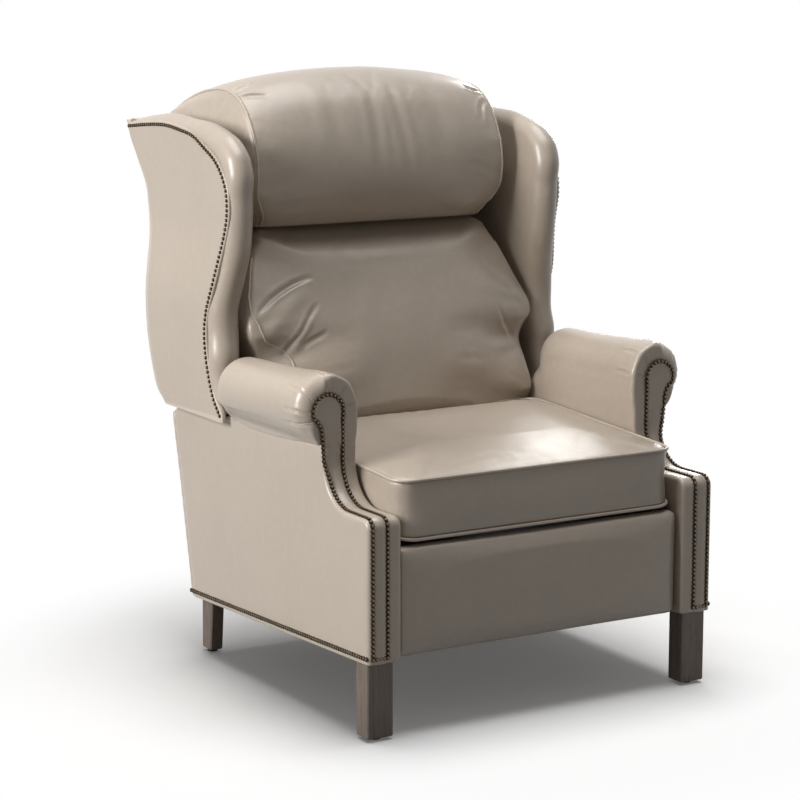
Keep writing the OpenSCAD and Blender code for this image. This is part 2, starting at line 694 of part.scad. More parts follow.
tie_r = 7;
module scissor_tie_tube() color(dark_steel) rod(-drop_x, drop_x, p1, tie_r);

module rear_rise_links() color(steel) both() {
    link(rise_x, b1, q1, [m1], pin_play);
    rod(bracket_x + layer_gap / 4, rise_x, b1, rivet_r);
    rod(drop_x, rise_x, q1, rivet_r);
}

module front_drop_links() color(steel) both() {
    link(drop_x, q1, p2, [q1], pin_play);
    rod(drop_x + link_t, rise_x + link_t, p2, rivet_r);
    rod(drop_x + link_t, rise_x + link_t, m2, rivet_r - guide_play);
}

module front_rise_links() color(steel) both() {
    link(rise_x, p1, q2, [p1, m2], pin_play);
    rod(drop_x, rise_x, q2, rivet_r);
}

module footrest_stays() color(steel) both() {
    link(rise_x, p2, m3, [p2], pin_play);
    rod(drop_x, rise_x, m3, rivet_r - guide_play);
}

footrest_clear = 20;
board_y = p2[0] - footrest_clear;
footrest_x = inner_x - footrest_gap;
flange_w = 30;
module footrest_bracket(s) on_side(s) color(steel) {
    difference() {
        union() {
            rod(drop_x, drop_x + link_t, q2, link_w / 2);
            rod(drop_x, drop_x + link_t, m3, link_w / 2);
            flat_arm(drop_x, drop_x + link_t, q2, m3, link_w - arm_neck);
            block([drop_x, board_y + link_t, m3[1] - link_w], [drop_x + link_t, m3[0], q2[1]]);
        }
        rod(drop_x - cut, drop_x + link_t + cut, q2, rivet_r + pin_play);
        rod(drop_x - cut, drop_x + link_t + cut, m3, rivet_r + pin_play);
    }
    block([drop_x + link_t - flange_w, board_y, m3[1] - link_w], [drop_x + link_t, board_y + link_t, q2[1]]);
}

module footrest_board() color(ply)
    block([board_in - footrest_x, board_y - board_t, footrest_bottom_z + board_in],
        [footrest_x - board_in, board_y, footrest_top_z - board_in]);
board_in = 5;

// The padding is a soft-edged slab with a slight crown to the front.
module footrest_pad() color(leather_shade) {
    a = footrest_x;
    b = (footrest_top_z - footrest_bottom_z) / 2;
    z = footrest_bottom_z + b;
    y = board_y - board_t;
    skin([for (k = pad_shares) let (i = k[0] * b) [for (p = cushion_ring(a - i, b - i, corner_r / 2, 4))
        [p[0], y - k[1] * pad_t, z + p[1]]]]);
}
// Rings of the footrest's padding, rear to front: inset as a share of its half height,
// and depth as a share of its thickness.
pad_shares = [[0, 0], [0, 0.35], [0.016, 0.6], [0.05, 0.85], [0.13, 0.97], [0.42, 1], [0.84, 1.02]];

// Back

post_foot_half = 20;
post_foot_z = pivot_z - 2 * post_foot_half;
// Side outline of a post, from its foot beside the pivot up along the rear line.
post_rear = shift(back_line, [-back_skin, 0]);
post_front = shift(back_line, [-back_skin - post_d, 0]);
post_outline = concat(
    [[pivot_d - post_foot_half, post_foot_z], [pivot_d + post_foot_half / 2, post_foot_z],
        [pivot_d + post_foot_half, pivot_z - post_foot_half / 2]],
    post_rear, flip(post_front), [[pivot_d - post_foot_half, pivot_z]]);
post_step_z = mix(back_low_z, back_top_z, 0.2);
rail_h = 60;
function line_y(z) = lookup(z, [for (p = back_line) [p[1], p[0]]]);
// The rear line between two heights, moved forward by d.
function line_part(z0, z1, d) = concat([[line_y(z0) - d, z0]],
    [for (p = back_line) if (p[1] > z0 && p[1] < z1) [p[0] - d, p[1]]], [[line_y(z1) - d, z1]]);
module back_band(x, z0, z1, d, t) panel(-x, x, concat(line_part(z0, z1, d), flip(line_part(z0, z1, d + t))));
mid_rail_z = mix(back_low_z, back_top_z, 0.6);

module back_frame() color(ply) {
    both() {
        panel(post_in, back_plate_x, post_outline);
        intersection() {
            panel(post_in, post_in + post_w, post_outline);
            block([post_in, 0, post_step_z], [post_in + post_w, front_d + back_sweep, back_top_z]);
        }
    }
    for (z = [back_low_z, mid_rail_z, back_top_z - rail_h])
        back_band(post_in, z, z + rail_h, back_skin, post_d);
}

web_t = 2;
web_w = 50;
web_n = 4;
module back_webbing() color(cloth) for (i = [0:web_n - 1]) {
    z = mix(back_low_z + rail_h, mid_rail_z, (i + 0.5) / web_n);
    back_band(back_plate_x, z - web_w / 2, z + web_w / 2, back_skin + post_d, web_t);
}

// The bracket carries the pivot, the drive slot below it and the post above it.
bracket_rise = 78;
bracket_top = [mix(pivot_d, back_low_d, 0.95), pivot_z + bracket_rise];
module back_bracket(s) on_side(s) color(steel) difference() {
    x0 = back_plate_x;
    x1 = back_plate_x + link_t;
    union() {
        flat_arm(x0, x1, pivot, bracket_top, 2 * eye_r - arm_neck);
        rod(x0, x1, pivot, eye_r);
        rod(x0, x1, bracket_top, eye_r);
        block([x0, pivot_d - bracket_half, pivot_z - drive_out - bracket_half],
            [x1, pivot_d + bracket_half, pivot_z]);
    }
    rod(x0 - cut, x1 + cut, pivot, pivot_pin_r + pin_play);
    slot(x0 - cut, x1 + cut, pivot - [0, drive_arm - drive_play], pivot - [0, drive_out + drive_play],
        drive_pin_r + drive_play);
}

module outside_back() color(leather) intersection() {
    between_wings(wing_skin + seam_gap);
    panel(-wing_low_x, wing_low_x, concat(back_line, flip(shift(back_line, [-back_skin, 0]))));
}

// The inside back is padded forward of the webbing, to the rear of the two cushions.
inside_low_z = back_low_z + back_skin;
function inside_rear(z) = line_y(z) - back_skin - post_d - web_t;
function inside_face(z) = z > lumbar_top_z ? inside_rear(z) - inside_back_t
    : lumbar_y(z) + lumbar_t + seam_gap;
inside_front = concat(
    [for (s = [0, 0.5, 1]) let (z = mix(inside_low_z, lumbar_top_z, s)) [inside_face(z), z]],
    [for (p = back_line) if (p[1] > head_bottom_z) [inside_face(p[1]), p[1]]]);
module inside_back() color(leather_shade) difference() {
    intersection() {
        between_wings(wing_t + 2 * seam_gap);
        panel(-wing_low_x, wing_low_x, concat(
            [[inside_rear(inside_low_z), inside_low_z]],
            [for (p = back_line) if (p[1] > inside_low_z) [inside_rear(p[1]), p[1]]],
            flip(inside_front)));
    }
    // Slits let the brackets in.
    both() {
        x0 = back_plate_x - seam_gap;
        x1 = back_plate_x + link_t + seam_gap;
        flat_arm(x0, x1, pivot, bracket_top, 2 * eye_r);
        rod(x0, x1, bracket_top, eye_r + seam_gap);
    }
}

// Wings

// Everything from t1 down to t0 inside the wing's face, as seen from the front.
module wing_strip(t0, t1) translate([0, front_d + back_sweep, 0]) rotate([90, 0, 0])
    linear_extrude(2 * front_d + back_sweep)
        polygon(concat([for (p = wing_profile) [p[1] - t0, p[0]]],
            flip([for (p = wing_profile) [p[1] - t1, p[0]]])));
// Everything between the two wings, t inside their faces.
module between_wings(t) translate([0, front_d + back_sweep, 0]) rotate([90, 0, 0])
    linear_extrude(2 * front_d + back_sweep)
        polygon(concat([for (p = wing_profile) [p[1] - t, p[0]]],
            flip([for (p = wing_profile) [t - p[1], p[0]]])));

module wing_panel(s) on_side(s) color(leather) intersection() {
    wing_strip(wing_skin, 0);
    panel(inner_x, half_w + wing_roll, let (row = wing_row(wing_bottom_z)) concat(
        [for (i = [0:len(row) - 1]) row[i] + panel_edge * wing_out(wing_roll_shares[i])],
        flip(wing_rear(wing_bottom_z, 0))));
}
panel_edge = 6;
function wing_out(v) = norm(v) > 0 ? v / norm(v) : [-1, 0];

// The wing's padding: rings from the outside to the inside face. The nail row's line
// swells out to the rolled edge and returns.
module wing_pad(s) on_side(s) color(leather) {
    n = len(wing_nail_shares);
    row = wing_row(wing_pad_z);
    rear = wing_rear(wing_pad_z, back_skin + seam_gap);
    depth = wing_t - wing_skin;
    intersection() {
        wing_strip(wing_t, wing_skin + seam_gap);
        skin([for (k = pad_roll_shares) let (
                front = [for (i = [0:n - 1]) row[i] + wing_roll * k[1] * wing_roll_shares[i]],
                ring = concat(front, flip(rear)))
            [for (p = ring) [wing_face_x(p[1]) - wing_skin - k[0] * depth, p[0], p[1]]]]);
    }
}
// Swell of the padding: share of its thickness, outside to inside, and of wing_roll. The
// first and the last ring lie outside the wing's faces, which cut them.
pad_roll_shares = [[-0.3, 0], [0, 0], [0.1, 0.55], [0.3, 0.92], [0.5, 1], [0.72, 0.9], [0.9, 0.55],
    [1, 0.1], [1.3, 0]];

// Cushions of the back

function lumbar_y(z) = lumbar_front + lumbar_lean * (z - cushion_top_z);
// Right half of the lumbar cushion's face outline, from the bottom up.
lumbar_shares = [[0.86, 0], [0.95, 0.04], [1, 0.14], [1, 0.3], [1, 0.45]];
lumbar_ear_shares = [[0.93, 0.5], [0.985, 0.54], [1, 0.59], [0.98, 0.66], [0.93, 0.76], [0.87, 0.88],
    [0.8, 0.97], [0.7, 1]];
function lumbar_face(inset) = let (
        a = [for (s = lumbar_shares) [s[0] * (lumbar_half - inset), s[1]]],
        b = [for (s = lumbar_ear_shares) [s[0] * (lumbar_ear - inset), s[1]]],
        all = concat(a, b),
        right = [for (p = all) [p[0], mix(lumbar_bottom_z + inset, lumbar_top_z - inset, p[1])]])
    concat(right, [for (p = flip(right)) [-p[0], p[1]]]);
module lumbar_cushion() color(leather) {
    skin([for (k = flip(lumbar_ring_shares)) [for (p = lumbar_face(k[0] * lumbar_t))
        [p[0], lumbar_y(p[1]) + k[1] * lumbar_t, p[1]]]]);
}
// Rings of the lumbar cushion, front to rear: inset and depth as shares of its thickness.
lumbar_ring_shares = [[0.6, 0.03], [0.33, 0], [0.15, 0.05], [0.04, 0.14], [0, 0.26], [0, 0.6],
    [0.05, 0.85], [0.2, 1]];

// Side profile of the headrest, from its front bottom edge over the top to the rear:
// shares of its depth, of the height of its ends, and of the crown's rise.
head_rear = back_low_d + back_sweep - back_skin;
head_over_shares = [[0.1, 0.012, 0], [0.03, 0.1, 0], [0, 0.25, 0.1], [0, 0.42, 0.3], [0.02, 0.6, 0.6],
    [0.09, 0.78, 0.85], [0.2, 0.92, 1], [0.36, 1, 1], [0.55, 0.99, 0.9], [0.74, 0.94, 0.6],
    [0.88, 0.88, 0.3], [0.97, 0.83, 0.08], [1, 0.8, 0]];
head_bow = 8;
// Its underside lies on the lumbar cushion, the inside back and the back's top edge.
head_under = concat(
    [for (s = [0.13, 0.3]) [mix(head_front, head_rear, s), head_bottom_z]],
    [[inside_face(head_bottom_z) - seam_gap, head_bottom_z]],
    [for (p = inside_front) if (p[1] > head_bottom_z)
        [p[0] - seam_gap, p[1] + (p[1] < back_top_z ? 0 : seam_gap)]],
    [[head_rear, back_top_z + seam_gap]]);
function head_ring(x, w) = concat(
    [for (s = head_over_shares) [x, mix(head_front + head_bow * (1 - w), head_rear, s[0]),
        head_bottom_z + s[1] * (head_end_z - head_bottom_z) + s[2] * w * (head_top_z - head_end_z)]],
    [for (p = flip(head_under)) [x, p[0], p[1]]]);
module headrest_cushion() color(leather) {
    xs = [1, 0.985, 0.94, 0.82, 0.6, 0.3, 0, -0.3, -0.6, -0.82, -0.94, -0.985, -1];
    skin([for (x = xs) head_ring(x * head_half, pow(1 - x * x, 0.6))]);
}

front_leg(-1);  // front_leg_left
front_leg(1);  // front_leg_right
rear_leg(-1);  // rear_leg_left
rear_leg(1);  // rear_leg_right
leg_glides();
arm_core(-1);  // arm_core_left
arm_core(1);  // arm_core_right
outside_arm(-1);  // outside_arm_left
outside_arm(1);  // outside_arm_right
inside_arm(-1);  // inside_arm_left
inside_arm(1);  // inside_arm_right
arm_roll(-1);  // arm_roll_left
arm_roll(1);  // arm_roll_right
arm_facing(-1);  // arm_facing_left
arm_facing(1);  // arm_facing_right
front_stretcher();
rear_stretcher();
corner_blocks();
base_rear_panel();
side_plate(-1);  // side_plate_left
side_plate(1);  // side_plate_right
plate_spreader();
back_pivot_pins();
seat_frame();
seat_springs();
spring_clips();
seat_deck();
seat_cushion();
seat_bracket(-1);  // seat_bracket_left
seat_bracket(1);  // seat_bracket_right
slide_rollers();
drive_pins();
rear_drop_links();
scissor_tie_tube();
rear_rise_links();
front_drop_links();
front_rise_links();
footrest_stays();
footrest_bracket(-1);  // footrest_bracket_left
footrest_bracket(1);  // footrest_bracket_right
footrest_board();
footrest_pad();
back_frame();
back_webbing();
back_bracket(-1);  // back_bracket_left
back_bracket(1);  // back_bracket_right
outside_back();
inside_back();
wing_panel(-1);  // wing_panel_left
wing_panel(1);  // wing_panel_right
wing_pad(-1);  // wing_pad_left
wing_pad(1);  // wing_pad_right
lumbar_cushion();
headrest_cushion();
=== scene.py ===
"""Looks for a wingback recliner: leather, nailheads, welts and legs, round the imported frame."""

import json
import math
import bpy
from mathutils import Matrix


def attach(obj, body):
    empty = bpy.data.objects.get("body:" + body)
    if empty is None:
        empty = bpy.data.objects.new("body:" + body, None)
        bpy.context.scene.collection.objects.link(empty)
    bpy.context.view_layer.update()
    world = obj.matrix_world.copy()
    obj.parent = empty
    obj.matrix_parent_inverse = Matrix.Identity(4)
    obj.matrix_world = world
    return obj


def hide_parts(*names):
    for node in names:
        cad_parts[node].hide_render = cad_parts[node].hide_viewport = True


bl_info = {
    "name": "Wingback recliner",
    "version": (1, 0, 0),
    "blender": (4, 5, 0),
    "location": "View3D > Sidebar > Recliner",
    "description": "Dresses the packed frame of a wingback recliner in leather, nailheads, wood and steel",
    "category": "Object",
}

import bmesh
import bpy
import numpy as np
from bpy.props import FloatProperty, FloatVectorProperty, IntProperty, PointerProperty
from mathutils import Vector

MM = 0.001

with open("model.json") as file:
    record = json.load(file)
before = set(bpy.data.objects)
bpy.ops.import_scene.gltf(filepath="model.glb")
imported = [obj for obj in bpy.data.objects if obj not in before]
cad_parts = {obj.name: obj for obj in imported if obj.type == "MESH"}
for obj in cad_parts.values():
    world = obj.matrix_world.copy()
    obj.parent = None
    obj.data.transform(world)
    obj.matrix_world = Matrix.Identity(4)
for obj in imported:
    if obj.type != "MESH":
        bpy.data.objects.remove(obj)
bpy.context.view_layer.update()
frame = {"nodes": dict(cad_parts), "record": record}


# Colours and settings

def linear(hex_colour):
    """A linear RGBA from an sRGB hex string."""
    value = hex_colour.lstrip("#")
    parts = [int(value[i:i + 2], 16) / 255 for i in (0, 2, 4)]
    return [c / 12.92 if c <= 0.04045 else ((c + 0.055) / 1.055) ** 2.4 for c in parts] + [1.0]


def colour(name, description, hex_colour):
    return FloatVectorProperty(name=name, description=description, subtype="COLOR", size=4, min=0, max=1,
                               default=linear(hex_colour))


def length(name, description, millimetres):
    return FloatProperty(name=name, description=description, unit="LENGTH", default=millimetres * MM, min=0.0)


class ChairColours(bpy.types.PropertyGroup):
    leather: colour("Leather", "Main tone of the leather", "#AA9D8E")
    # The deep tone is also painted into the creases and hollows as shade.
    leather_deep_and_crease_shade: colour("Leather, deep tone", "Tone in the grain and the creases", "#7C7065")
    leather_rubbed: colour("Leather, rubbed tone", "Tone of the rubbed, pale areas", "#C4B7A8")
    # The dark antiquing on each dome's lower part is also painted shade; the rubbed brass on the crowns is
    # also a painted highlight.
    nail: colour("Nailheads", "Antiqued brass", "#241C15")
    nail_rubbed_and_highlight: colour("Nailheads, worn", "Brass where the antiquing has rubbed off", "#6F6250")
    leg: colour("Legs", "Grey-brown stained oak", "#6E6055")
    leg_grain: colour("Legs, grain", "Dark pores of the oak", "#3B322B")
    frame_wood: colour("Frame", "Raw plywood and hardwood", "#C3A274")
    frame_grain: colour("Frame, grain", "Darker bands of the raw wood", "#8F6F48")
    steel: colour("Steel", "Zinc-plated strip", "#A7A9AC")
    dark_steel: colour("Dark steel", "Blackened pins, springs and glides", "#3A3A3D")
    lining: colour("Lining", "Black webbing and lining", "#17171A")
    lining_thread: colour("Lining, thread", "Crowns of the woven threads", "#2C2C30")


class ChairSizes(bpy.types.PropertyGroup):
    nail_d: length("Nailhead", "Diameter of an arm nailhead", 9.0)
    nail_h: length("Nail height", "Height of a nailhead's dome", 3.6)
    nail_pitch: length("Nail pitch", "Spacing of the touching arm nails", 8.15)
    wing_nail_d: length("Wing nailhead", "Diameter of a wing nailhead", 7.4)
    wing_nail_pitch: length("Wing nail pitch", "Spacing of the wing nails", 9.2)
    welt_r: length("Welt radius", "Radius of the covered cord", 3.2)
    voxel: length("Voxel", "Mesh size of the soft pieces", 5.0)
    sim_frames: IntProperty(name="Inflation frames", description="Frames of cloth inflation", default=16,
                            min=1)


# Small tools

NOISE_RNG = np.random.default_rng(11)
NOISE_ORDER = NOISE_RNG.permutation(256)
NOISE_SLOPE = NOISE_RNG.normal(size=(256, 3))
NOISE_SLOPE /= np.linalg.norm(NOISE_SLOPE, axis=1, keepdims=True)


def get_object(name, verts, faces):
    mesh = bpy.data.meshes.new(name)
    mesh.from_pydata([tuple(v) for v in verts], [], [tuple(f) for f in faces])
    mesh.validate()
    mesh.update()
    obj = bpy.data.objects.new(name, mesh)
    bpy.context.scene.collection.objects.link(obj)
    return obj


def coords(obj):
    co = np.empty(len(obj.data.vertices) * 3, np.float32)
    obj.data.vertices.foreach_get("co", co)
    return co.reshape(-1, 3).astype(float)


def set_coords(obj, co):
    obj.data.vertices.foreach_set("co", np.ascontiguousarray(co, np.float32).ravel())
    obj.data.update()


def normals(obj):
    no = np.empty(len(obj.data.vertices) * 3, np.float32)
    obj.data.vertices.foreach_get("normal", no)
    return no.reshape(-1, 3).astype(float)


def bake_modifiers(obj):
    """Replaces the object's mesh by its evaluated one and drops the modifiers."""
    graph = bpy.context.evaluated_depsgraph_get()
    mesh = bpy.data.meshes.new_from_object(obj.evaluated_get(graph))
    obj.modifiers.clear()
    obj.data = mesh


def remesh(obj, voxel, smooth_steps):
    m = obj.modifiers.new("voxels", "REMESH")
    m.mode = "VOXEL"
    m.voxel_size = voxel
    m.adaptivity = 0
    s = obj.modifiers.new("soften", "SMOOTH")
    s.factor = 0.5
    s.iterations = smooth_steps
    bake_modifiers(obj)


def subdivide(obj):
    m = obj.modifiers.new("subdivision", "SUBSURF")
    m.levels = m.render_levels = 1
    bake_modifiers(obj)


def bevel(obj, width, angle):
    """Rounds the edges that turn by more than the angle. width is in millimetres."""
    m = obj.modifiers.new("bevel", "BEVEL")
    m.width = width * MM
    m.segments = 2
    m.limit_method = "ANGLE"
    m.angle_limit = math.radians(angle)
    bake_modifiers(obj)


def dress(obj, body, slot, nodes=(), look=None):
    """Gives a finished piece the look of its slot, or another look, smooth shading and its body, and hides
    the nodes it replaces.
    """
    obj.data.materials.clear()
    obj.data.materials.append(material(look or slot))
    obj.data.shade_smooth()
    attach(obj, body)
    if nodes:
        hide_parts(*nodes)


def ease(t):
    t = np.clip(t, 0, 1)
    return t * t * (3 - 2 * t)


def mix(a, b, t):
    return a + (b - a) * t


def table(points, x):
    """Smoothly interpolated table of (x, y...) rows."""
    points = np.asarray(points, float)
    x = np.clip(np.asarray(x, float), points[0, 0], points[-1, 0])
    k = np.clip(np.searchsorted(points[:, 0], x) - 1, 0, len(points) - 2)
    x0, x1 = points[k, 0], points[k + 1, 0]
    t = ((x - x0) / (x1 - x0))[..., None] if np.ndim(x) else (x - x0) / (x1 - x0)
    p = points[:, 1:]
    tangents = np.gradient(p, points[:, 0], axis=0)
    h = (x1 - x0)[..., None] if np.ndim(x) else (x1 - x0)
    a, b, c, d = p[k], p[k + 1], tangents[k] * h, tangents[k + 1] * h
    out = ((2 * t**3 - 3 * t**2 + 1) * a + (t**3 - 2 * t**2 + t) * c
           + (3 * t**2 - 2 * t**3) * b + (t**3 - t**2) * d)
    return out[..., 0] if p.shape[1] == 1 else out


def spline(points, n):
    """Catmull-Rom curve through the points, n steps a span."""
    p = np.asarray(points, float)
    last = len(p) - 1
    out = []
    for i in range(last):
        a, b, c, d = p[max(i - 1, 0)], p[i], p[i + 1], p[min(i + 2, last)]
        for k in range(n):
            t = k / n
            out.append(0.5 * (2 * b + (c - a) * t + (2 * a - 5 * b + 4 * c - d) * t * t
                              + (3 * b - a - 3 * c + d) * t**3))
    return np.array(out + [p[-1]])


def arc(cx, cy, r, a0, a1, n):
    """Points of a circle from one angle to another, in degrees."""
    a = np.radians(np.linspace(a0, a1, n + 1))
    return np.stack([cx + r * np.cos(a), cy + r * np.sin(a)], 1)


def along(path, pitch):
    """Points and unit tangents at an even pitch along a polyline."""
    path = np.asarray(path, float)
    s = lengths_along(path)
    at = np.linspace(0, s[-1], max(1, round(s[-1] / pitch)) + 1)

    def places(where):
        return np.stack([np.interp(where, s, path[:, i]) for i in range(path.shape[1])], 1)

    tan = places(at + 0.5 * pitch) - places(at - 0.5 * pitch)
    return places(at), tan / np.maximum(np.linalg.norm(tan, axis=1, keepdims=True), 1e-9)


def even(path, step, closed=False):
    """The polyline resampled at an even step."""
    p = np.asarray(path, float)
    if closed:
        p = np.concatenate([p, p[:1]])
    count = max(2, round(lengths_along(p)[-1] / step))
    at = np.linspace(0, 1, count + 1)
    return at_fraction(p, at[:-1] if closed else at)


def lengths_along(path):
    """Length of the polyline up to each of its points."""
    return np.concatenate([[0], np.cumsum(np.linalg.norm(np.diff(path, axis=0), axis=1))])


def fractions(path):
    """How far along the polyline each point lies, 0 to 1."""
    s = lengths_along(path)
    return s / s[-1]


def at_fraction(path, f):
    path = np.asarray(path, float)
    g = fractions(path)
    return np.stack([np.interp(f, g, path[:, i]) for i in range(path.shape[1])], 1)


def left_normals(path):
    """Normals of an open polyline in (y, z), to the left of its direction."""
    t = np.gradient(np.asarray(path, float), axis=0)
    t /= np.maximum(np.linalg.norm(t, axis=1, keepdims=True), 1e-9)
    return np.stack([-t[:, 1], t[:, 0]], 1)


def loft(rings):
    """Vertices and faces over closed rings of equal length, with a cap at each end."""
    n = len(rings[0])
    verts = np.concatenate([np.asarray(r, float) for r in rings])
    faces = []
    for k in range(len(rings) - 1):
        for i in range(n):
            a, b = k * n + i, k * n + (i + 1) % n
            faces.append((a, b, b + n, a + n))
    last = len(verts) - n
    return verts, faces + [tuple(range(n))[::-1], tuple(range(last, last + n))]


def tube(path, radius, sides, closed=False):
    """A round cord along a 3-D path, as vertices and faces."""
    p = np.asarray(path, float)
    m = len(p)
    tan = np.roll(p, -1, 0) - np.roll(p, 1, 0) if closed else np.gradient(p, axis=0)
    tan /= np.linalg.norm(tan, axis=1, keepdims=True)
    up = np.array([0, 0, 1.0]) if abs(tan[0][2]) < 0.9 else np.array([1.0, 0, 0])
    a = np.linspace(0, 2 * math.pi, sides, endpoint=False)
    rings = []
    for i in range(m):
        side = np.cross(tan[i], up)
        side /= np.linalg.norm(side)
        up = np.cross(side, tan[i])
        rings.append(p[i] + radius * (np.cos(a)[:, None] * side + np.sin(a)[:, None] * up))
    if not closed:
        verts, faces = loft(rings)
        return verts, [f[::-1] for f in faces]
    # The frame can turn on the way round, so the last ring is matched to the first.
    turn = int(np.argmin([np.linalg.norm(np.roll(rings[0], -s, 0) - rings[-1]) for s in range(sides)]))
    faces = []
    for k in range(m):
        here = k * sides
        onward, shift = (here + sides, 0) if k < m - 1 else (0, turn)
        for i in range(sides):
            j = (i + 1) % sides
            faces.append((here + i, onward + (i + shift) % sides, onward + (j + shift) % sides, here + j))
    return np.concatenate(rings), faces


def wobble(co, scale, seed):
    """Smooth gradient noise at each point, about -1 to 1. scale is the size of its waves in metres."""
    p = np.asarray(co, float) / scale + seed * np.array([17.3, 5.1, 9.7])
    cell = np.floor(p).astype(int)
    t = p - cell
    u = t ** 3 * (t * (6 * t - 15) + 10)
    out = np.zeros(len(p))
    for corner in np.ndindex(2, 2, 2):
        corner = np.array(corner)
        x, y, z = ((cell + corner) & 255).T
        slope = NOISE_SLOPE[NOISE_ORDER[(NOISE_ORDER[(NOISE_ORDER[x] + y) & 255] + z) & 255]]
        out += np.prod(np.where(corner, u, 1 - u), 1) * np.sum(slope * (t - corner), 1)
    return 1.5 * out


def puff(obj, layers, seed, mask=None, squeeze=(1, 1, 1)):
    """Moves the surface along its normals by layers of noise, each a wave size and a height in millimetres.

    The waves are drawn out along an axis where squeeze is under 1.
    """
    co, no = coords(obj), normals(obj)
    d = np.zeros(len(co))
    for i, (scale, height) in enumerate(layers):
        d += height * MM * wobble(co * squeeze, scale * MM, seed + i)
    if mask is not None:
        d *= mask
    set_coords(obj, co + no * d[:, None])


def distance_to(co, path):
    """Distance of each point to a polyline, and how far along it the nearest place lies, 0 to 1."""
    p = np.asarray(path, float)
    best = np.full(len(co), 1e9)
    where = np.zeros(len(co))
    s = fractions(p)
    for i in range(len(p) - 1):
        a, d = p[i], p[i + 1] - p[i]
        t = np.clip(((co - a) @ d) / (d @ d), 0, 1)
        dist = np.linalg.norm(co - (a + t[:, None] * d), axis=1)
        near = dist < best
        best[near] = dist[near]
        where[near] = (s[i] + t * (s[i + 1] - s[i]))[near]
    return best, where


def crease(obj, path, depth, width, lip=0.35):
    """Presses a fold into the surface along a path in metres, with a soft lip on each side.

    depth and half width are in millimetres, and the fold dies out towards the path's ends.
    """
    co, no = coords(obj), normals(obj)
    dist, where = distance_to(co, path)
    fade = np.sin(math.pi * np.clip(where, 0, 1)) ** 0.6
    depth, r = depth * MM, dist / (width * MM)
    d = -depth * np.exp(-r * r) + lip * depth * np.exp(-((r - 1.9) / 0.9) ** 2)
    set_coords(obj, co + no * (d * fade)[:, None])


# The leather while it is stuffed, as cloth.
CLOTH_SETTINGS = {"quality": 4, "mass": 0.4, "use_pressure": True, "pin_stiffness": 1.0,
                  "tension_stiffness": 15.0, "compression_stiffness": 15.0, "shear_stiffness": 5.0,
                  "bending_stiffness": 1.2}


def inflate(obj, pressure, cap, pins):
    """Cloth inflation in place. pins is a weight per vertex; no point moves further than cap millimetres."""
    start = coords(obj)
    scene = bpy.context.scene
    group = obj.vertex_groups.new(name="pins")
    for level in (0.25, 0.5, 0.75, 1.0):
        chosen = np.nonzero((pins > level - 0.25) & (pins <= level))[0]
        if len(chosen):
            group.add([int(i) for i in chosen], level, "REPLACE")
    cloth = obj.modifiers.new("cloth", "CLOTH")
    for key, value in CLOTH_SETTINGS.items():
        setattr(cloth.settings, key, value)
    cloth.settings.uniform_pressure_force = pressure
    cloth.settings.effector_weights.gravity = 0
    cloth.collision_settings.use_collision = False
    cloth.settings.vertex_group_mass = group.name
    frames = scene.chair_sizes.sim_frames
    cloth.point_cache.frame_start, cloth.point_cache.frame_end = 1, frames
    for f in range(1, frames + 1):
        scene.frame_set(f)
    calm = obj.modifiers.new("calm", "SMOOTH")
    calm.factor, calm.iterations = 0.5, 9
    bake_modifiers(obj)
    scene.frame_set(1)
    obj.vertex_groups.clear()
    move = coords(obj) - start
    far = np.linalg.norm(move, axis=1)
    set_coords(obj, start + move * np.minimum(1, cap * MM / np.maximum(far, 1e-9))[:, None])


def mirrored(verts, faces, side):
    """The right-hand piece for side 1, its mirror image for side -1."""
    return np.array(verts) * [side, 1, 1], faces if side > 0 else [f[::-1] for f in faces]


def plate(front, rear, face_x, thick, edge_r, columns):
    """A leather panel between matched front and rear lines in (y, z), with its front edge rounded over.

    face_x gives the visible face's x at a height. Returns vertices, faces and a mask, 0 along the edges.
    """
    rings, mask = [], []
    n = len(front)
    for i, (f, r, nrm) in enumerate(zip(front, rear, left_normals(front))):
        ring, weight = [(thick, f)], [0.0]
        for a in np.radians(np.linspace(0, 90, 6)):
            ring.append((edge_r * (1 - math.sin(a)), f - nrm * edge_r * (1 - math.cos(a))))
            weight.append(0.0)
        start = f - nrm * edge_r
        for t in np.linspace(0, 1, columns + 1)[1:]:
            ring.append((0.0 if t < 1 else 1.5, mix(start, r, t)))
            weight.append(float(ease(12 * min(t, 1 - t)) * ease(min(i, n - 1 - i) / 5)))
        ring.append((thick, r))
        weight.append(0.0)
        rings.append([(float(face_x(p[1])) - d, p[0], p[1]) for d, p in ring])
        mask += weight
    verts, faces = loft(rings)
    return verts, faces, np.array(mask)


def shaped(name, verts, faces):
    """An object from a closed mesh in millimetres, its normals turned outward."""
    obj = get_object(name, verts * MM, faces)
    bm = bmesh.new()
    bm.from_mesh(obj.data)
    bmesh.ops.recalc_face_normals(bm, faces=bm.faces)
    bm.to_mesh(obj.data)
    bm.free()
    return obj


# Materials

def add_node(tree, kind, out=0, settings=None, stops=(), **inputs):
    """Adds a shader node and returns its output. An input that is a socket is linked, any other is a value.

    Inputs go by name, or by number as i0, i1 and so on. stops are a colour ramp's places and grey tones.
    """
    node = tree.nodes.new("ShaderNode" + kind)
    for key, value in (settings or {}).items():
        setattr(node, key, value)
    elements = node.color_ramp.elements if stops else ()
    while len(elements) < len(stops):
        elements.new(0.5)
    for element, (place, tone) in zip(elements, stops):
        element.position = place
        element.color = (tone, tone, tone, 1)
    for key, value in inputs.items():
        socket = node.inputs[int(key[1:]) if key[1:].isdigit() else key.replace("_", " ")]
        if isinstance(value, bpy.types.NodeSocket):
            tree.links.new(value, socket)
        else:
            socket.default_value = value
    return node.outputs[out] if node.outputs else None


def cleared_tree(holder):
    """The empty node tree of a material or a world."""
    holder.use_nodes = True
    holder.node_tree.nodes.clear()
    return holder.node_tree


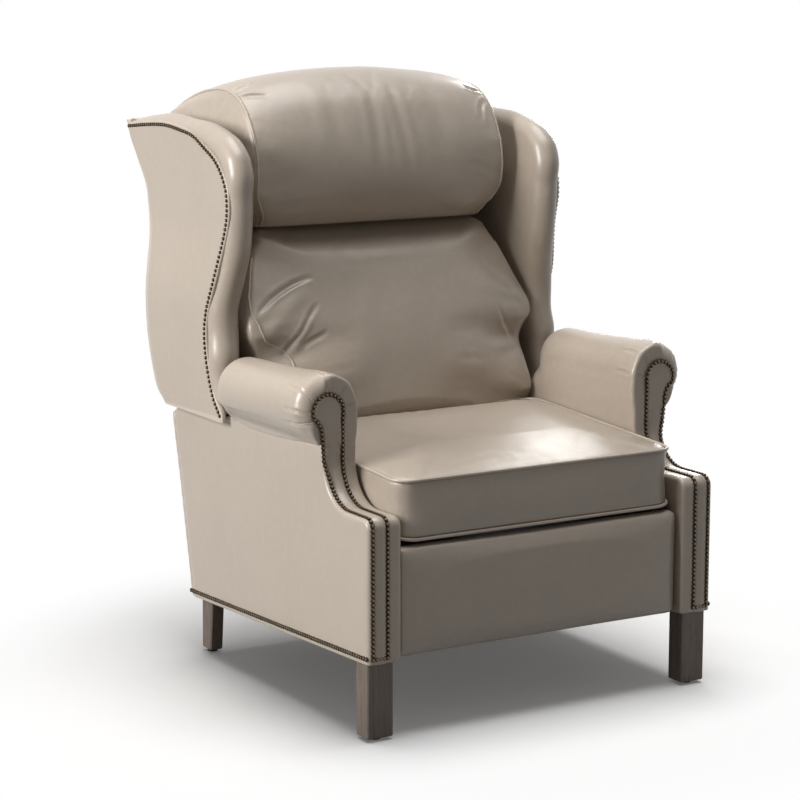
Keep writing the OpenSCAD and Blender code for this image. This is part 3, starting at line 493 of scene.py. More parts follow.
def material(look):
    """The material of a look, made when it is first asked for."""
    name, build = LOOKS[look]
    mat = bpy.data.materials.get(name)
    if mat is None:
        mat = bpy.data.materials.new(name)
        tree = cleared_tree(mat)
        place = add_node(tree, "TexCoord", "Object")
        shader = add_node(tree, "BsdfPrincipled", **build(tree, place, bpy.context.scene.chair_colours))
        add_node(tree, "OutputMaterial", Surface=shader)
    return mat


def satin_cowhide(tree, place, c):
    """Full-grain cowhide, pigmented, with a satin finish.

    To the eye: an even tone with soft clouds, a fine pebble, pale rubbed edges, and creases darkened with
    painted shade.
    """
    clouds = add_node(tree, "TexNoise", Vector=place, Scale=4.0, Detail=3.0, Roughness=0.5)
    mottle = add_node(tree, "TexNoise", Vector=place, Scale=60.0, Detail=4.0, Roughness=0.55)
    # Pebbles of the grain are about 0.8 mm across; drawn 1.7 mm so that they show from 5 m.
    grain = add_node(tree, "TexVoronoi", "Distance", {"feature": "DISTANCE_TO_EDGE"}, Vector=place,
                     Scale=1 / (1.7 * MM))
    pores = add_node(tree, "TexNoise", Vector=place, Scale=1 / (4 * MM), Detail=5.0, Roughness=0.6)
    wrinkle = add_node(tree, "TexNoise", Vector=place, Scale=26.0, Detail=3.0, Roughness=0.5, Distortion=1.2)
    # Pointiness pales the convex edges as rubbed wear, and darkens the creases and hollows as painted shade.
    wear_and_painted_light = add_node(tree, "NewGeometry", "Pointiness")
    tone = tuple(c.leather)
    for fac, stops, other in ((clouds, [(0.3, 0.13), (0.7, 0.0)], c.leather_deep_and_crease_shade),
                              (mottle, [(0.45, 0), (0.8, 0.16)], c.leather_rubbed),
                              (grain, [(0.0, 0.16), (0.14, 0)], c.leather_deep_and_crease_shade),
                              (wear_and_painted_light, [(0.51, 0), (0.6, 0.5)], c.leather_rubbed),
                              (wear_and_painted_light, [(0.42, 0.6), (0.488, 0)], c.leather_deep_and_crease_shade)):
        share = add_node(tree, "ValToRGB", stops=stops, Fac=fac)
        tone = add_node(tree, "Mix", 2, {"data_type": "RGBA"}, i0=share, i6=tone, i7=tuple(other))
    rough = add_node(tree, "ValToRGB", stops=[(0.3, 0.34), (0.75, 0.43)], Fac=mottle)
    domes = add_node(tree, "ValToRGB", stops=[(0.0, 0), (0.2, 1)], Fac=grain)
    bump = add_node(tree, "Bump", Strength=0.10, Distance=0.5 * MM, Height=domes)
    bump = add_node(tree, "Bump", Strength=0.12, Distance=0.6 * MM, Height=pores, Normal=bump)
    bump = add_node(tree, "Bump", Strength=0.16, Distance=3.0 * MM, Height=wrinkle, Normal=bump)
    return {"Base_Color": tone, "Roughness": rough, "Specular_IOR_Level": 0.5, "Sheen_Weight": 0.04,
            "Coat_Weight": 0.25, "Coat_Roughness": 0.24, "Normal": bump}


def antiqued_brass(tree, place, c):
    """Pressed brass nailheads with an antique finish: dark in the hollows, rubbed bright on the crowns;
    painted shade at the rims, a painted highlight on the crowns.
    """
    patina = add_node(tree, "TexNoise", Vector=place, Scale=260.0, Detail=3.0, Roughness=0.6)
    crown = add_node(tree, "Attribute", "Fac", {"attribute_name": "crown"})
    tone = tuple(c.nail)
    # The crown weight puts the bright brass, also a painted highlight, on top of each dome, and leaves the
    # dark tone, also painted shade, round its rim.
    for fac, stops in ((patina, [(0.42, 0), (0.75, 0.35)]), (crown, [(0.72, 0), (0.97, 0.9)])):
        share = add_node(tree, "ValToRGB", stops=stops, Fac=fac)
        tone = add_node(tree, "Mix", 2, {"data_type": "RGBA"}, i0=share, i6=tone, i7=tuple(c.nail_rubbed_and_highlight))
    rough = add_node(tree, "ValToRGB", stops=[(0.3, 0.28), (0.75, 0.46)], Fac=patina)
    return {"Base_Color": tone, "Metallic": 1.0, "Roughness": rough}


def brushed_oak(tree, place, c):
    """Wire-brushed oak, stained grey-brown and sealed with a dull lacquer: long pores run up the leg."""
    # Pores are 0.3 mm wide and run for centimetres; drawn 1.4 mm apart.
    stretched = add_node(tree, "Mapping", Vector=place, Scale=(1.0, 1.0, 0.045))
    pores = add_node(tree, "TexNoise", Vector=stretched, Scale=620.0, Detail=5.0, Roughness=0.7)
    bands = add_node(tree, "TexNoise", Vector=stretched, Scale=95.0, Detail=4.0, Roughness=0.6,
                     Distortion=0.6)
    tone = tuple(c.leg)
    for fac, stops in ((bands, [(0.3, 0.0), (0.7, 0.7)]), (pores, [(0.5, 0), (0.66, 0.75)])):
        share = add_node(tree, "ValToRGB", stops=stops, Fac=fac)
        tone = add_node(tree, "Mix", 2, {"data_type": "RGBA"}, i0=share, i6=tone, i7=tuple(c.leg_grain))
    rough = add_node(tree, "ValToRGB", stops=[(0.35, 0.42), (0.7, 0.62)], Fac=pores)
    bump = add_node(tree, "Bump", Strength=0.35, Distance=0.5 * MM, Height=pores)
    return {"Base_Color": tone, "Roughness": rough, "Normal": bump}


def raw_poplar(tree, place, c):
    """Raw poplar and plywood, planed and unfinished: pale, with faint long grain along the length."""
    stretched = add_node(tree, "Mapping", Vector=place, Scale=(0.12, 1.0, 1.0))
    bands = add_node(tree, "TexNoise", Vector=stretched, Scale=140.0, Detail=5.0, Roughness=0.6,
                     Distortion=0.4)
    share = add_node(tree, "ValToRGB", stops=[(0.35, 0), (0.7, 0.55)], Fac=bands)
    tone = add_node(tree, "Mix", 2, {"data_type": "RGBA"}, i0=share, i6=tuple(c.frame_wood),
                    i7=tuple(c.frame_grain))
    bump = add_node(tree, "Bump", Strength=0.2, Distance=0.4 * MM, Height=bands)
    return {"Base_Color": tone, "Roughness": 0.7, "Normal": bump}


def strip_steel(tree, place, tone, rough):
    """Stamped strip steel under a thin finish: a faint spangle, with soft scratches."""
    spangle = add_node(tree, "TexVoronoi", "Distance", Vector=place, Scale=130.0)
    smear = add_node(tree, "TexNoise", Vector=place, Scale=48.0, Detail=5.0, Roughness=0.6)
    share = add_node(tree, "ValToRGB", stops=[(0.35, 0), (0.75, 0.5)], Fac=smear)
    shade = tuple(np.array(tone) * [0.6, 0.6, 0.6, 1])
    shaded = add_node(tree, "Mix", 2, {"data_type": "RGBA"}, i0=share, i6=tuple(tone), i7=shade)
    rough = add_node(tree, "ValToRGB", stops=[(0.0, rough), (0.8, rough + 0.16)], Fac=spangle)
    return {"Base_Color": shaded, "Metallic": 1.0, "Roughness": rough}


def zinc_plated_steel(tree, place, c):
    """Zinc plating: pale and fairly bright."""
    return strip_steel(tree, place, c.steel, 0.32)


def blackened_steel(tree, place, c):
    """Blackened steel: dark and a little duller."""
    return strip_steel(tree, place, c.dark_steel, 0.4)


def woven_lining(tree, place, c):
    """Black polypropylene webbing and dust cloth, woven: a fine square weave, matt."""
    # Threads are 1 mm; drawn 2 mm apart so that they show.
    x, y = (add_node(tree, "TexWave", "Fac", {"bands_direction": axis}, Vector=place,
                     Scale=math.pi / (2 * MM) / 20) for axis in "XY")
    weave = add_node(tree, "Math", settings={"operation": "MULTIPLY"}, i0=x, i1=y)
    tone = add_node(tree, "Mix", 2, {"data_type": "RGBA"}, i0=weave, i6=tuple(c.lining),
                    i7=tuple(c.lining_thread))
    bump = add_node(tree, "Bump", Strength=0.4, Distance=0.5 * MM, Height=weave)
    return {"Base_Color": tone, "Roughness": 0.9, "Normal": bump}


# Looks by their record slots, and the nailheads': the material's name and the function that makes it.
LOOKS = {
    "leather": ("satin_finished_cowhide", satin_cowhide),
    "leather_pad": ("satin_finished_cowhide", satin_cowhide),
    "leg_wood": ("stained_brushed_oak", brushed_oak),
    "frame_wood": ("raw_planed_poplar", raw_poplar),
    "steel": ("zinc_plated_strip_steel", zinc_plated_steel),
    "dark_steel": ("blackened_steel", blackened_steel),
    "lining": ("woven_black_lining", woven_lining),
    "nailheads": ("antiqued_pressed_brass", antiqued_brass),
}


# The chair's lines, in millimetres, as the solids have them: side views are (y, z)

SIDES = ((1, "right"), (-1, "left"))
ARM_OUT = 370.0
FACE_OUT, FACE_IN = 361.0, 331.0
FRONT_Y, SHELF_Z, EDGE_R = -480.0, 400.0, 18.0
SCROLL = (-400.0, 477.0, 77.0)
ARCH_Y, ARM_TOP, ARCH_Z = -323.0, 503.0, 565.0
ROLL_X, ROLL_Z, ROLL_R, ROLL_REAR, ROLL_FALL = 360.5, 572.0, 57.5, 30.0, 0.0314
NAIL_LOW = 153.0
BACK_LINE = [(300, 500), (330.3, 529.3), (363, 624), (368.5, 723.4), (373.3, 799), (383.7, 857), (395, 908),
             (424.6, 948), (460.2, 994.8), (478, 1032)]
NAIL_ROW = [(42, 499), (70, 530), (86, 562), (98, 598), (104, 632), (104, 664), (95, 697), (79, 739),
            (65, 791), (56, 823), (47, 852), (40, 881), (41, 913), (50, 937), (69, 961), (94, 980),
            (131, 997), (176, 1016), (223, 1024), (304, 1031), (387, 1027), (466, 1020)]


def base_z(y):
    """Lower edge of the base, which falls towards the rear."""
    return 147 + (118 - 147) * (y + 480) / 699


def hem_z(y):
    """Lower edge of the leather, which wraps under the base."""
    return base_z(y) - 4.5


def wing_x(z):
    """Outside face of the flared wing."""
    return 388 + (370 - 388) * ease((np.asarray(z, float) - 690) / 174)


def back_y(z):
    """Outside face of the back."""
    line = spline(BACK_LINE, 6)
    return np.interp(z, line[:, 1], line[:, 0])


def front_line(top, inset, n=8):
    """The column's front and the S over the shelf, bottom to top."""
    cy, cz, r = SCROLL
    return np.concatenate([
        [(FRONT_Y + inset, hem_z(FRONT_Y))],
        arc(FRONT_Y + EDGE_R, SHELF_Z - EDGE_R, EDGE_R - inset, 180, 90, n),
        arc(cy, cz, r + inset, 270, 360, 2 * n),
        [(ARCH_Y + inset, top)]])


# Pieces

# Square legs: name, x range, and their ranges in y at the base and at the floor.
LEGS = (("front_leg", (314.0, 366.0), (-470.0, -428.0), (-470.0, -428.0)),
        ("rear_leg", (319.0, 346.0), (171.0, 217.0), (182.0, 219.0)))
LEG_FOOT, LEG_CHAMFER = 8.0, 2.2
# Glides under the legs: places (x, y), and the profile (z, radius).
GLIDES = ((340, -449), (332.5, 200.5))
GLIDE_PROFILE = ((0.0, 8.6), (0.4, 9.6), (1.4, 10.0), (4.6, 10.0), (6.0, 9.6))


def leg_piece(x0, x1, top, foot):
    """A square leg with chamfered arrises, up to the base's sloping underside."""
    stations = [(6.0, foot, 1.5), (LEG_FOOT, foot, 0.0)]
    for t in (0.25, 0.5, 0.75):
        z = LEG_FOOT + t * (base_z(top[1]) - LEG_FOOT)
        stations.append((z, (mix(foot[0], top[0], t), mix(foot[1], top[1], t)), 0.0))
    stations.append((None, top, 0.0))
    rings = []
    k = LEG_CHAMFER
    for z, (y0, y1), inset in stations:
        a, b, c, d = x0 + inset, x1 - inset, y0 + inset, y1 - inset
        ring = [(a + k, c), (b - k, c), (b, c + k), (b, d - k), (b - k, d), (a + k, d), (a, d - k),
                (a, c + k)]
        rings.append([(x, y, base_z(y) - 0.2 if z is None else z) for x, y in ring])
    return loft(rings)


def build_legs():
    for side, word in SIDES:
        for name, (x0, x1), top, foot in LEGS:
            verts, faces = mirrored(*leg_piece(x0, x1, top, foot), side)
            obj = get_object(f"{name}_{word}_oak", verts * MM, faces)
            bevel(obj, 0.7, 25)
            dress(obj, "base", "leg_wood", [f"{name}_{word}"])
            obj.data.shade_flat()
    glides = []
    for x, y in GLIDES:
        for side, _ in SIDES:
            glides.append(loft([[(a, b, z) for a, b in arc(x * side, y, r, 0, 360, 24)[:-1]]
                                for z, r in GLIDE_PROFILE]))
    verts, faces = joined(*glides)
    dress(get_object("nail_on_glides", verts * MM, faces), "base", "dark_steel", ["leg_glides"])


def extruded(outline, x0, x1, edge0, edge1):
    """A flat panel from an outline in (y, z), its two large faces rounded over at the edge."""
    outline = np.asarray(outline, float)
    nrm = outline_normals(outline)
    turns = np.linspace(0, math.pi / 2, 4)
    profile = [(x0 + edge0 * (1 - math.cos(a)), edge0 * (1 - math.sin(a))) for a in turns]
    profile += [(x1 - edge1 * (1 - math.cos(a)), edge1 * (1 - math.sin(a))) for a in turns[::-1]]
    return loft([[(x, *q) for q in outline - nrm * inset] for x, inset in profile])


def outline_normals(outline):
    """Outward normals of a closed outline."""
    nxt, prv = np.roll(outline, -1, 0), np.roll(outline, 1, 0)
    t = nxt - prv
    t /= np.maximum(np.linalg.norm(t, axis=1, keepdims=True), 1e-9)
    n = np.stack([t[:, 1], -t[:, 0]], 1)
    area = np.sum(outline[:, 0] * nxt[:, 1] - nxt[:, 0] * outline[:, 1])
    return n if area > 0 else -n


def joined(*parts):
    """Several meshes of vertices and faces as one."""
    verts, faces, start = [], [], 0
    for v, f in parts:
        verts.append(np.asarray(v, float))
        faces += [tuple(i + start for i in q) for q in f]
        start += len(v)
    return np.concatenate(verts), faces


def build_arms():
    front = even(front_line(ARM_TOP, 0.0, 10), 7.0)
    rear = [(207.0, hem_z(207.0)), (220.0, 183.0), (283.0, 473.0), (240.0, 497.0)]
    rear = at_fraction(rear, fractions(front))
    for side, word in SIDES:
        verts, faces, mask = plate(front, rear, lambda z: ARM_OUT + 0.4, 24.0, 8.0, 60)
        outer = shaped(f"outside_arm_leather_{word}", *mirrored(verts, faces, side))
        puff(outer, [(160, 1.1), (60, 0.35)], 3.0 + side, mask)
        bevel(outer, 1.8, 60)
        dress(outer, "base", "leather", [f"outside_arm_{word}"])
        build_facing(side, word)
        build_roll(side, word)


def facing_out(z):
    """How far out the facing's outer nail row runs: on the arch's stem it lies at the very corner."""
    return FACE_OUT + 11.0 * ease((np.asarray(z, float) - 435) / 65)


# The facing strip's section: x across it, and how far it stands out.
FACING_SECTION = ((330, -3.5), (332.5, -0.8), (336, 1.0), (341, 2.1), (346, 2.5), (351, 2.1), (356, 1.0),
                  (359.5, -0.8), (362, -3.5))
# The arch's face from behind to its front: y, and how far its outline is drawn in.
ARCH_LAYERS = ((-312.0, 0.0), (-320.0, 0.0), (-323.4, 1.5), (-325.0, 5.0), (-325.7, 10.0))


def build_facing(side, word):
    """The narrow padded strip between the two nail rows, up the column, over the S and into the arch."""
    strip = front_line(522.0, 0.0, 12)
    inner = front_line(522.0, 11.0, 12)
    nrm = left_normals(strip)
    rings = []
    for x, lift in FACING_SECTION:
        section = np.concatenate([strip + nrm * lift, inner[::-1]])
        wide = 1 + (facing_out(section[:, 1]) - FACE_OUT) / (FACE_OUT - FACE_IN)
        rings.append([(FACE_IN + (x - FACE_IN) * k, y, z) for k, (y, z) in zip(wide, section)])
    # The arch: a keyhole whose stem continues the strip.
    ring = np.array([(FACE_IN - 0.5, ARM_TOP - 3.0), (FACE_IN - 0.5, ARCH_Z - 24),
                     *arc(ROLL_X, ARCH_Z, 31.0, 192, -22, 26),
                     (382.0, 547.0), (376.5, 538.0), (374.0, 528.0), (373.0, 515.0), (372.6, ARM_TOP - 3.0)])
    rim = outline_normals(ring)
    layers = [[(x, y, z) for x, z in ring - rim * inset] for y, inset in ARCH_LAYERS]
    verts, faces = joined(loft(rings), loft(layers))
    obj = shaped(f"arm_facing_leather_{word}", *mirrored(verts, faces, side))
    remesh(obj, 2.6 * MM, 4)
    dress(obj, "base", "leather_pad", [f"arm_facing_{word}"])


ROLL_CENTRE = np.array([ROLL_X, ROLL_Z])
# The pleats' angles round the arch, and a pleat's path: distance from its centre, and y.
PLEATS = (-30.0, -3.0, 38.0, 90.0, 136.0, 177.0)
PLEAT_PATH = ((32, -323.0), (40, -322.0), (48, -316.0), (54, -306.0), (57, -296.0), (57.5, -280.0),
              (57.5, -258.0))
# Height of the arch's centre, which the face of the roll keeps to.
FOLD_Z = 563.0


def roll_section(y, s):
    """The roll's cross-section at y, s behind its face: a circle above, drawn in to the arm below."""
    cz = ROLL_Z - ROLL_FALL * s
    turn = np.radians(np.linspace(182, -30, 54))
    r = np.full(len(turn), ROLL_R)
    # Near the face the cover is stretched flat from pleat to pleat.
    flat = 0.5 * math.exp(-(s / 24.0) ** 2)
    for a0, a1 in zip(PLEATS, PLEATS[1:]):
        half = math.radians(a1 - a0) / 2
        mid = math.radians(a0 + a1) / 2
        inside = np.abs(turn - mid) <= half
        r[inside] *= mix(1.0, np.cos(half) / np.cos(turn[inside] - mid), flat)
    over = np.stack([ROLL_X + r * np.cos(turn), cz + r * np.sin(turn)], 1)
    under = np.interp(y, [-316, -268, -220, -140, -56, 20], [503, 499, 495, 491, 490, 496])
    # The sewn edge of the arm's inner face turns back at the front.
    back = 6.0 - math.sqrt(max(0.0, 36.0 - max(0.0, 6.0 - s) ** 2))
    inner = [(x + share * back, z) for x, share, z in (
        (303.0, 1.0, 485.0), (302.2, 1.0, 500.0), (301.4, 0.8, 516.0), (301.0, 0.4, 532.0),
        (301.4, 0.1, 550.0))]
    outer = [(404.0, 531.0), (396.0, 521.5), (385.0, 512.5), (376.5, 505.0), (372.6, under + 4),
             (371.6, under), (366.0, under + 1), (350.0, 490.0), (320.0, 485.0)]
    ring = np.concatenate([inner, over, outer])
    return at_fraction(np.concatenate([ring, ring[:1]]), np.linspace(0, 1, 109)[:-1])


def roll_ring(s, k):
    """The cover's ring s behind the roll's face. k is how far the round edge has opened there, up to 1."""
    y = ARCH_Y + 0.5 + s
    p = roll_section(y, s)
    centre = mix(FOLD_Z, ROLL_Z - ROLL_FALL * s, float(ease(s / 40)))
    # The inner side turns in over a tight edge, the outer side over a round one.
    angle = np.degrees(np.arctan2(p[:, 1] - ROLL_Z, p[:, 0] - ROLL_X))
    angle[angle < -90] += 360
    tight = ease((angle - 62) / 45) * (s < 40)
    sharp = 0.945 + 0.055 * math.sqrt(1 - (1 - min(s / 5, 1)) ** 2)
    swell = 0.07 * math.exp(-((s - 6) / 70) ** 2) * ease((angle - 55) / 40) * ease((240 - angle) / 45)
    p = ROLL_CENTRE + (p - ROLL_CENTRE) * (1 + swell)[:, None]
    keep = mix(1.0, mix(k, sharp, tight), ease((p[:, 1] - 508) / 34))
    x = ROLL_X + (p[:, 0] - ROLL_X) * keep
    return np.stack([x, np.full(len(p), y), centre + (p[:, 1] - centre) * keep], 1)


def build_roll(side, word):
    """The stuffed arm roll and the arm's padded inner face, one cover, pleated round the arch."""
    depth = ROLL_REAR - ARCH_Y
    stations = [(27 * (1 - math.cos(a)), 0.52 + 0.48 * math.sin(a))
                for a in np.radians([0, 15, 24, 34, 45, 56, 67, 78, 90])]
    stations += [(s, 1.0) for s in np.linspace(34, depth - 56, 26)]
    stations += [(depth - 50 + 50 * math.sin(a), 1 - 0.92 * (1 - math.cos(a)))
                 for a in np.radians(np.linspace(0, 88, 10))]
    rings = [roll_ring(s, k) for s, k in stations]
    low, column = 240.0, -410.0
    rest = [(18.5, ARM_TOP), (24.5, 497), (220, 497), (220, low), (column, low), (column, hem_z(column))]
    face = extruded(np.concatenate([front_line(ARM_TOP, 0.4), rest]), 302.6, 334.0, 5.5, 3.0)
    obj = shaped(f"arm_roll_leather_{word}", *mirrored(*joined(loft(rings), face), side))
    remesh(obj, 3.1 * MM, 3)
    co = coords(obj) / MM
    loose = ease((co[:, 1] - ARCH_Y - 30) / 60) * ease((co[:, 2] - 500) / 30)
    puff(obj, [(130, 1.8), (40, 0.4)], 11.0 + side, loose)
    puff(obj, [(100, 0.8)], 13.0 + side, 1 - loose)
    folds = []
    for angle in PLEATS:
        c, s = math.cos(math.radians(angle)) * side, math.sin(math.radians(angle))
        path = [(ROLL_X * side + c * r, y, mix(FOLD_Z, ROLL_Z, (r - 32) / 26) + s * r) for r, y in PLEAT_PATH]
        crease(obj, snapped(obj, np.array(path) * MM), 1.9, 3.0)
        folds.append(tube(even(snapped(obj, even(path[:6], 3.0) * MM), 3.0 * MM), 0.95 * MM, 6))
    dress(obj, "base", "leather_pad", [f"arm_roll_{word}", f"inside_arm_{word}"])
    dress(get_object(f"arm_pleat_folds_{word}", *joined(*folds)), "base", "leather_pad")


def build_base_rear():
    outline = [(219, hem_z(219)), (232, 183), (295, 473), (283, 473), (220, 183), (207, hem_z(207))]
    obj = shaped("base_rear_leather", *extruded(outline, -370.0, 370.0, 4.0, 4.0))
    remesh(obj, 6 * MM, 2)
    puff(obj, [(200, 1.6)], 23.0)
    dress(obj, "base", "leather", ["base_rear_panel"])


def rounded_box_ring(a, b, r, n):
    """A rectangle of half sizes a and b with round corners, n steps a corner."""
    corners = ((a - r, b - r, 0), (r - a, b - r, 90), (r - a, r - b, 180), (a - r, r - b, 270))
    return np.concatenate([arc(x, y, r, start, start + 90, n) for x, y, start in corners])


def cord(name, path, body, radius=None, closed=False):
    """A leather-covered cord along a path. Path and radius are in millimetres."""
    radius = radius * MM if radius else bpy.context.scene.chair_sizes.welt_r
    verts, faces = tube(even(path, 4.0, closed) * MM, radius, 8, closed)
    dress(get_object(name, verts, faces), body, "leather_pad")


def hold_near(co, paths, width):
    """1 within so many millimetres of any of the paths, 0 elsewhere."""
    hold = np.zeros(len(co))
    for path in paths:
        hold = np.maximum(hold, distance_to(co, path)[0] < width * MM)
    return hold


def pucker(obj, path, reach, depth, pitch, seed):
    """Small gathers that run away from a seam and die out within reach, in millimetres."""
    co, no = coords(obj), normals(obj)
    dist, where = distance_to(co, path)
    reach, pitch = reach * MM, pitch * MM
    near = np.nonzero(dist < reach * 1.6)[0]
    phase = where[near] * lengths_along(path)[-1] / pitch
    jitter = wobble(co[near], pitch * 2.2, seed)
    strength = ease(0.5 + 0.9 * wobble(co[near], pitch * 6.0, seed + 4))
    d = depth * MM * np.sin(2 * math.pi * phase + 2.6 * jitter) * strength
    co[near] += no[near] * (d * np.exp(-(dist[near] / reach) ** 2))[:, None]
    set_coords(obj, co)


# The seat cushion: half width, half depth, its middle's y, and the heights of its two welts.
SEAT_X, SEAT_Y, SEAT_MID, SEAT_LOW, SEAT_HIGH = 297.0, 241.0, -220.0, 351.5, 457.0
# Its section: inset, height from welt to welt, how far it follows the top's slope, and the crown.
SEAT_SECTION = ((60, 0.0, 0.0, -3), (14, 0.0, 0.0, -1), (3.0, 0.02, 0.0, 0), (1.0, 0.05, 0.0, 0),
                (1.5, 0.2, 0.1, 0), (2.6, 0.4, 0.3, 0), (2.8, 0.6, 0.5, 0), (1.8, 0.8, 0.8, 0),
                (1.0, 0.95, 0.97, 0), (3.0, 0.985, 1.0, 0), (8, 1.0, 1.0, 2.6), (20, 1.0, 1.0, 6.4),
                (40, 1.0, 1.0, 10.2), (90, 1.0, 1.0, 13.0), (150, 1.0, 1.0, 13.6), (215, 1.0, 1.0, 13.8))
# Soft folds of its top: path, depth and half width.
SEAT_FOLDS = (([(-150, -420, 480), (-70, -400, 484), (20, -408, 485)], 1.6, 12),
              ([(120, -430, 478), (170, -380, 484), (230, -372, 482)], 1.4, 10),
              ([(-60, -446, 472), (-40, -420, 480), (-46, -380, 486)], 1.2, 9))


def seat_lift(y):
    """How far the top rises towards the back, at y from the cushion's middle."""
    t = y / SEAT_Y
    return 27 * ease((t + 1) / 1.3) * (1 - 0.35 * ease(t - 0.5))


def seat_sag(x, y):
    """How far the border's lower edge hangs between the corners at the front."""
    return 11.5 * (1 - (x / 300) ** 4) * float(ease((-y - 330) / 110))


def seat_z(x, y, t, follow, crown):
    """Height of the cushion's skin at x and y from its middle."""
    swell = crown * (1 - 0.55 * float(ease(y / SEAT_Y + 1)))
    return mix(SEAT_LOW, SEAT_HIGH, t) + swell + follow * seat_lift(y) - (1 - t) * seat_sag(x, y + SEAT_MID)


def build_seat():
    """The boxed seat cushion: crowned top, drawn-in border between two welts."""
    rings = []
    for inset, t, follow, crown in SEAT_SECTION:
        corner = min(34 + inset / 4, SEAT_Y - inset - 0.5)
        ring = rounded_box_ring(SEAT_X - inset, SEAT_Y - inset, corner, 8)
        rings.append([(x, y + SEAT_MID, seat_z(x, y, t, follow, crown)) for x, y in ring])
    verts, faces = loft(rings)
    obj = get_object("seat_cushion_leather", verts * MM, faces)
    remesh(obj, bpy.context.scene.chair_sizes.voxel, 3)
    outline = rounded_box_ring(SEAT_X - 1.2, SEAT_Y - 1.2, 33, 12)
    top = [(x, y + SEAT_MID, SEAT_HIGH - 2.0 + seat_lift(y)) for x, y in outline]
    bottom = [(x, y + SEAT_MID, SEAT_LOW + 3.0 - seat_sag(x, y + SEAT_MID)) for x, y in outline]
    top, bottom = even(top, 8.0, True), even(bottom, 8.0, True)
    loops = [np.concatenate([p, p[:1]]) * MM for p in (top, bottom)]
    co = coords(obj)
    inflate(obj, 3.2, 10, np.maximum(hold_near(co, loops, 4.5), co[:, 2] < (SEAT_LOW - 10.0) * MM))
    subdivide(obj)
    pucker(obj, loops[0], 26, 0.8, 34, 5.0)
    puff(obj, [(120, 1.4), (45, 0.35)], 31.0, 1 - hold_near(coords(obj), loops, 6))
    for path, depth, width in SEAT_FOLDS:
        crease(obj, spline(path, 6) * MM, depth, width)
    dress(obj, "seat", "leather_pad", ["seat_cushion"])
    cord("seat_welt_upper", top, "seat", closed=True)
    cord("seat_welt_lower", bottom, "seat", closed=True)
    # A black lining cloth closes the front of the seat frame above the folded footrest; its black also stands
    # in for the shade in the gap there, as painted shade.
    section = ((-421.6, 306), (-420.4, 306), (-420.4, 344), (-421.6, 344))
    cloth = shaped("seat_front_lining_painted_shade", *loft([[(x, y, z) for y, z in section] for x in (-276, 276)]))
    dress(cloth, "seat", "lining")


# The footrest's padded face: half sizes, its middle's height, and its plane.
FOOT_X, FOOT_Z, FOOT_MID, FOOT_Y = 300.0, 98.5, 241.0, -454.4
# Its section: inset, and how far it stands out.
FOOT_SECTION = ((6, -17.0), (1.5, -17.0), (0.0, -13.5), (0.0, 0.0), (0.5, 6.0), (2.0, 10.0), (5.0, 12.8),
                (12, 14.6), (30, 15.8), (60, 16.2), (85, 16.3))


def build_footrest():
    """The footrest's padded face, which reads as the front panel when folded."""
    rings = []
    for inset, out in FOOT_SECTION:
        ring = rounded_box_ring(FOOT_X - inset, FOOT_Z - inset, min(9.0, FOOT_Z - inset - 1), 5)
        rings.append([(x, FOOT_Y - out, FOOT_MID + v) for x, v in ring])
    obj = shaped("footrest_leather", *loft(rings))
    remesh(obj, bpy.context.scene.chair_sizes.voxel, 3)
    inflate(obj, 1.2, 5, (coords(obj)[:, 1] > (FOOT_Y - 4) * MM).astype(float))
    puff(obj, [(200, 1.0)], 37.0)
    dress(obj, "footrest", "leather_pad", ["footrest_pad", "footrest_board"])


def lumbar_y(z):
    """The lumbar cushion's plain face line."""
    return 27 + 0.27 * (z - 457)


LUMBAR_HALF = [(388, 262), (396, 274), (410, 282), (440, 292), (500, 298), (560, 298), (590, 298),
               (605, 301), (622, 308), (640, 317), (660, 320), (684, 314), (728, 298), (782, 279),
               (815, 264), (832, 256), (838, 240)]
# How far the face's outer edge stands behind the plain face line, and where its middle lies: (z, y).
LUMBAR_EDGE = [(388, 6), (470, -6), (498, -19), (552, -8), (605, 5), (625, -4), (650, -24), (672, -22),
               (690, -14), (730, -4), (760, 4), (800, 12), (838, 22)]
LUMBAR_CROWN = [(388, 27), (470, 28), (488, 26), (510, 19), (540, 13), (580, 17), (640, 36), (700, 61),
                (760, 90), (800, 112), (838, 137)]
# Folds of the lumbar cushion: path over its face (x, z), depth and half width.
LUMBAR_FOLDS = [
    ([(-292, 674), (-262, 701), (-232, 718), (-202, 730), (-166, 738)], 4.6, 5.2),
    ([(-280, 640), (-250, 668), (-214, 694), (-180, 712)], -3.0, 15.0),
    ([(-252, 602), (-226, 630), (-198, 658), (-166, 690)], 3.6, 4.8),
    ([(-238, 596), (-206, 634), (-178, 660)], -2.2, 8.0),
    ([(-208, 614), (-182, 630), (-154, 641)], 2.4, 4.8),
    ([(234, 664), (254, 630), (274, 598)], 2.8, 5.0),
    ([(214, 742), (252, 712), (280, 676), (298, 640)], 1.6, 10.0),
    ([(-90, 800), (-84, 730), (-92, 660)], 1.0, 22.0),
]


# Where the left seam turns in over the face, (x, z).
LUMBAR_TURN_IN = [(-303, 704), (-299, 668), (-287, 641), (-264, 623), (-243, 609), (-233, 592), (-229, 568)]
LUMBAR_ROWS = np.linspace(389, 835, 46)


def on_lumbar(path, off):
    """Points (x, z) set off by some millimetres from the lumbar cushion's plain face line, in metres."""
    return np.stack([path[:, 0], lumbar_y(path[:, 1]) + off, path[:, 1]], 1) * MM


def lumbar_depth(obj):
    """How far behind the plain face line each vertex lies, in millimetres."""
    co = coords(obj) / MM
    return co[:, 1] - lumbar_y(co[:, 2])


def round_over(depth, r):
    """1 at an edge and 0 from r inside it, along a quarter circle."""
    return 1 - np.sqrt(1 - (1 - np.clip(depth / r, 0, 1)) ** 2)


